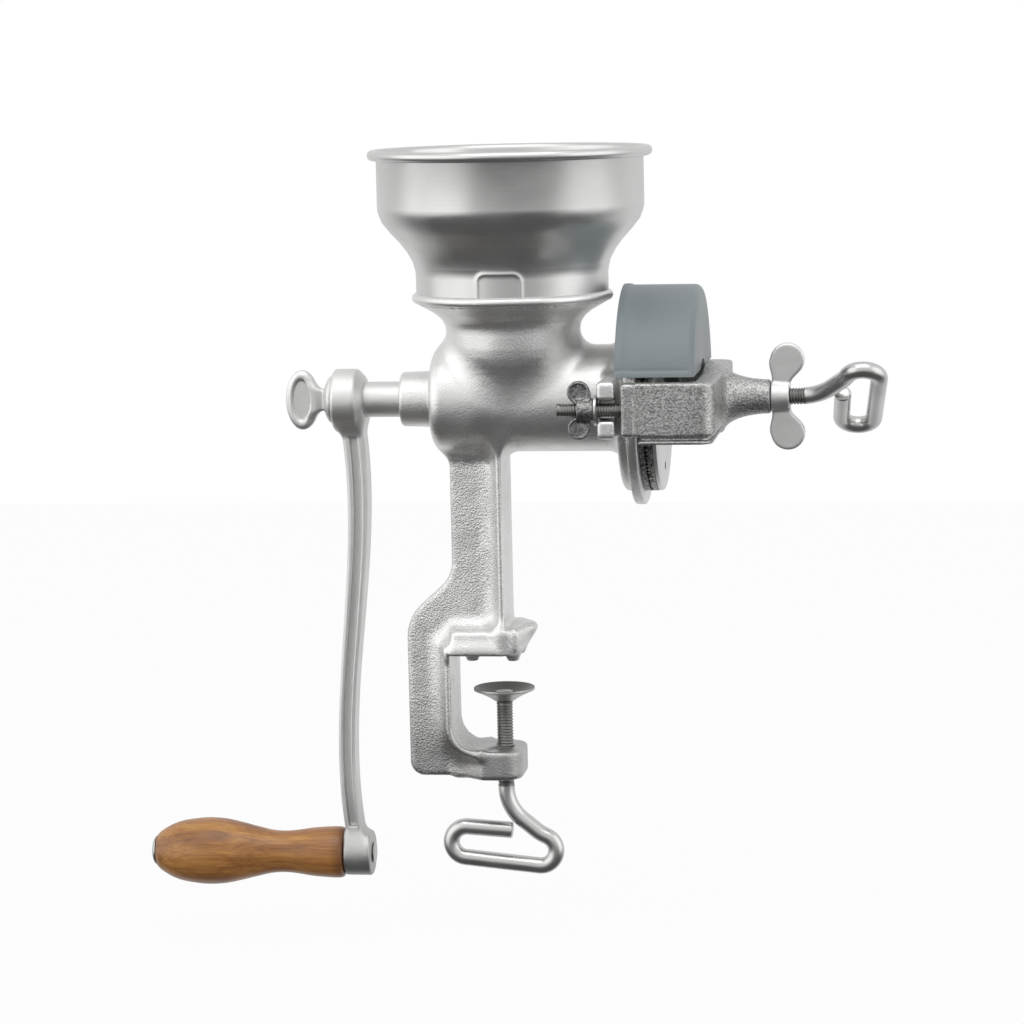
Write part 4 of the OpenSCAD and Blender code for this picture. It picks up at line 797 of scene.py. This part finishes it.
# Burr guard: half a drum of pressed grey sheet that hangs over the burrs, with a bead round its open
# edge, a lip along its lower edges and an end wall cut out over the yoke's nose.
def guard_shell():
    """Profile of (along, radius) swept from one lower edge over the top to the other: a point of
    radius r turns by as much as the arc cosine of the cut's height, 14.2 above the shaft, over r."""
    outer = [(61.4, 53.3), (61.5, 53.75), (62.0, 53.8), (64.2, 53.8), (65.0, 53.6), (65.6, 53.2)]
    outer += [(72, 53.2), (80, 53.2), (88, 53.2)] + arc((94.4, 49.7), 3.5, 90, 0, 7)
    outer += [(97.9, 40), (97.9, 30), (97.9, 22), (97.9, 18.3)]
    inner = [(61.4, 51.3)] + [(a, 51.2) for a in (61.9, 62.4, 64.0, 65.0, 65.8, 72, 80, 88)]
    inner += arc((94.4, 49.7), 1.5, 90, 0, 7) + [(95.9, 40), (95.9, 30), (95.9, 22), (95.9, 18.3)]
    share = np.concatenate([np.linspace(0, 0.05, 9)[:-1], np.linspace(0.05, 0.95, 72), np.linspace(0.95, 1, 9)[1:]])
    end_wall = np.clip((np.array(outer)[:, :1] - 94.4) / 3.5, 0, 1)
    outward = np.sqrt(1 - end_wall ** 2)
    sheets = []
    for side, lip in ((outer, 1), (inner, 0)):
        side = np.array(side)
        along, r = side[:, :1], side[:, 1:]
        most = np.arccos(14.2 / r)
        turn = most * (2 * share[None] - 1)
        up = np.minimum(most - turn, most + turn) * r
        lift = (0.55 * np.clip((3.0 - up) / 0.7, 0, 1) - 0.25 * np.exp(-((up - 3.6) / 0.5) ** 2)) * lip
        r = r + lift * outward ** 2
        sheets.append(np.stack([np.broadcast_to(along, r.shape), r * np.sin(turn), shaft_z + r * np.cos(turn)], -1))
    rows, columns = sheets[0].shape[:2]
    number = np.arange(2 * rows * columns).reshape(2, rows, columns)
    edges = [number[:, 0], number[:, -1], number[:, :, 0], number[:, :, -1]]
    faces = [np.stack([g[:-1, :-1], g[:-1, 1:], g[1:, 1:], g[1:, :-1]], -1).reshape(-1, 4)
             for g in [number[0], number[1]] + edges]
    return np.stack(sheets).reshape(-1, 3), np.concatenate(faces)


def grey_enamel(name, colour):
    """Grey stoving enamel on pressed sheet: smooth, a little uneven, with a soft gloss."""
    material, tree = blank(name)
    spot = add(tree, "ShaderNodeTexCoord").outputs["Object"]
    peel = add(tree, "ShaderNodeTexNoise", [("Vector", spot), ("Scale", 1000 / 2.5), ("Detail", 2.0)])
    cloud = add(tree, "ShaderNodeTexNoise", [("Vector", spot), ("Scale", 1000 / 30), ("Detail", 2.0)])
    tint = add(tree, "ShaderNodeMix", [(0, cloud.outputs[0]), (6, linear("#6b7376")), (7, linear(colour))],
               data_type="RGBA")
    bump = add(tree, "ShaderNodeBump", [("Height", peel.outputs[0]), ("Distance", 0.00003), ("Strength", 1.0)])
    gloss = add(tree, "ShaderNodeMapRange", [(0, cloud.outputs[0]), (1, 0.3), (2, 0.7), (3, 0.36), (4, 0.46)])
    skin = add(tree, "ShaderNodeBsdfPrincipled", [("Base Color", tint.outputs[2]), ("Roughness", gloss.outputs[0]),
                                                  ("Normal", bump.outputs[0])])
    add(tree, "ShaderNodeOutputMaterial", [(0, skin.outputs[0])])
    return material


points, faces = guard_shell()
enamel = grey_enamel("grey_stoving_enamel", "#7b8386")
close_up(place("burr_guard_shell", points, faces, "guard", enamel, ["burr_guard"]), 40)


# Grip: turned hardwood, varnished, on a long bolt with a domed head at its free end, which is
# riveted over in the crank's boss.
def varnished_beech(name):
    """Turned beech under clear varnish: streaks along the grain, about 0.8 mm wide and 30 long, and
    slower bands of tone; the end grain by the crank has taken more stain."""
    material, tree = blank(name)
    spot = add(tree, "ShaderNodeTexCoord").outputs["Object"]
    fibre_at = add(tree, "ShaderNodeMapping", [("Vector", spot), ("Scale", (33.0, 1250.0, 1250.0))])
    band_at = add(tree, "ShaderNodeMapping", [("Vector", spot), ("Scale", (14.0, 190.0, 190.0)),
                                              ("Rotation", (0.0, 0.06, 0.05))])
    fibre = add(tree, "ShaderNodeTexNoise", [("Vector", fibre_at.outputs[0]), ("Scale", 1.0), ("Detail", 2.0)])
    bands = add(tree, "ShaderNodeTexNoise", [("Vector", band_at.outputs[0]), ("Scale", 1.0), ("Detail", 3.0),
                                             ("Distortion", 0.6)])
    blend = add(tree, "ShaderNodeMix", [(0, 0.35), (2, bands.outputs[0]), (3, fibre.outputs[0])])
    tone = add(tree, "ShaderNodeValToRGB", [(0, blend.outputs[0])])
    stops = tone.color_ramp.elements
    stops[0].position, stops[0].color = 0.30, linear("#6d4019")
    stops[1].position, stops[1].color = 0.68, linear("#b4813f")
    middle = stops.new(0.48)
    middle.color = linear("#94602a")
    at = add(tree, "ShaderNodeSeparateXYZ", [(0, spot)])
    end = add(tree, "ShaderNodeMapRange", [(0, at.outputs["X"]), (1, -0.0860), (2, -0.0800), (3, 0.0), (4, 0.75)])
    stain_and_shade = add(tree, "ShaderNodeMix", [(0, end.outputs[0]), (6, tone.outputs[0]), (7, linear("#5c3013"))],
                data_type="RGBA")
    bump = add(tree, "ShaderNodeBump", [("Height", fibre.outputs[0]), ("Distance", 0.00006), ("Strength", 1.0)])
    skin = add(tree, "ShaderNodeBsdfPrincipled", [("Base Color", stain_and_shade.outputs[2]), ("Roughness", 0.42),
               ("Normal", bump.outputs[0]), ("Coat Weight", 0.35), ("Coat Roughness", 0.22)])
    add(tree, "ShaderNodeOutputMaterial", [(0, skin.outputs[0])])
    return material


bore = 3.9
swell = [(0, 0), (0.05, 6.9), (0.5, 8.2), (2.0, 9.6), (3.5, 10.6), (5.2, 11.6), (8, 13.1), (11.3, 14.3), (14.3, 15.0),
         (17.4, 15.5), (20.4, 15.9), (23.4, 16.2), (26.5, 16.3), (29.4, 16.2), (32.4, 16.0), (35.4, 15.6),
         (38.4, 15.0), (41.4, 14.3), (44.4, 13.6), (47.4, 12.8), (50.3, 12.1), (53.2, 11.4), (56.2, 10.7),
         (59.2, 10.3), (62.2, 10.1), (65.2, 10.15), (68.2, 10.4), (71.2, 10.8), (74.2, 11.25), (77.2, 11.7),
         (80.2, 12.0), (83.2, 12.2), (86, 12.4), (89, 12.5), (91.5, 12.4), (92.7, 12.0), (93.3, 11.3), (93.6, 10.4),
         (93.6, bore)]
grip_at = (-173.4, 0, shaft_z - throw)
turned("turned_grip", [(a, max(r, bore)) for a, r in swell] + [(0, bore)], grip_at, 0, "grip",
       varnished_beech("varnished_beech"), ["wooden_grip"], 128, None, 50)
dome = [(-2.6, 0)] + [(-2.6 + 2.3 * (1 - math.cos(t)), 7.1 * math.sin(t)) for t in np.linspace(0.15, math.pi / 2, 9)]
dome += [(-0.1, 3.7), (107.4, 3.7), (107.9, 5.0), (108.4, 4.4), (108.4, 0)]
turned("grip_bolt", dome, grip_at, 0, "crankshaft", dull_tin, ["handle_bolt"], 64, None, 40)


# Studio floor: a plain pale board, bright from the camera and otherwise matt, low enough to clear
# the clamp screw when it is wound down. The mill is a clamped tool, so it stands clear of the board.
low, high = cad_box
floor_z, reach = low[2] - 0.026, 1.6
corners = [((low[0] + high[0]) / 2 + reach * a, reach * b, floor_z) for a, b in ((-1, -1), (1, -1), (1, 1), (-1, 1))]
mesh = bpy.data.meshes.new("studio_floor")
mesh.from_pydata(corners, [], [(0, 1, 2, 3)])
floor = bpy.data.objects.new("studio_floor", mesh)
bpy.context.scene.collection.objects.link(floor)
paper, tree = blank("pale_matt_board")
matt = add(tree, "ShaderNodeBsdfDiffuse", [("Color", linear("#a8a8a8"))])
bright = add(tree, "ShaderNodeEmission", [("Color", linear("#ffffff")), ("Strength", 1.0)])
path = add(tree, "ShaderNodeLightPath")
seen = add(tree, "ShaderNodeMath", [(0, path.outputs["Is Camera Ray"]), (1, 0.96)], operation="MULTIPLY")
board = add(tree, "ShaderNodeMixShader", [(0, seen.outputs[0]), (1, matt.outputs[0]), (2, bright.outputs[0])])
add(tree, "ShaderNodeOutputMaterial", [(0, board.outputs[0])])
mesh.materials.append(paper)
floor.visible_glossy = False
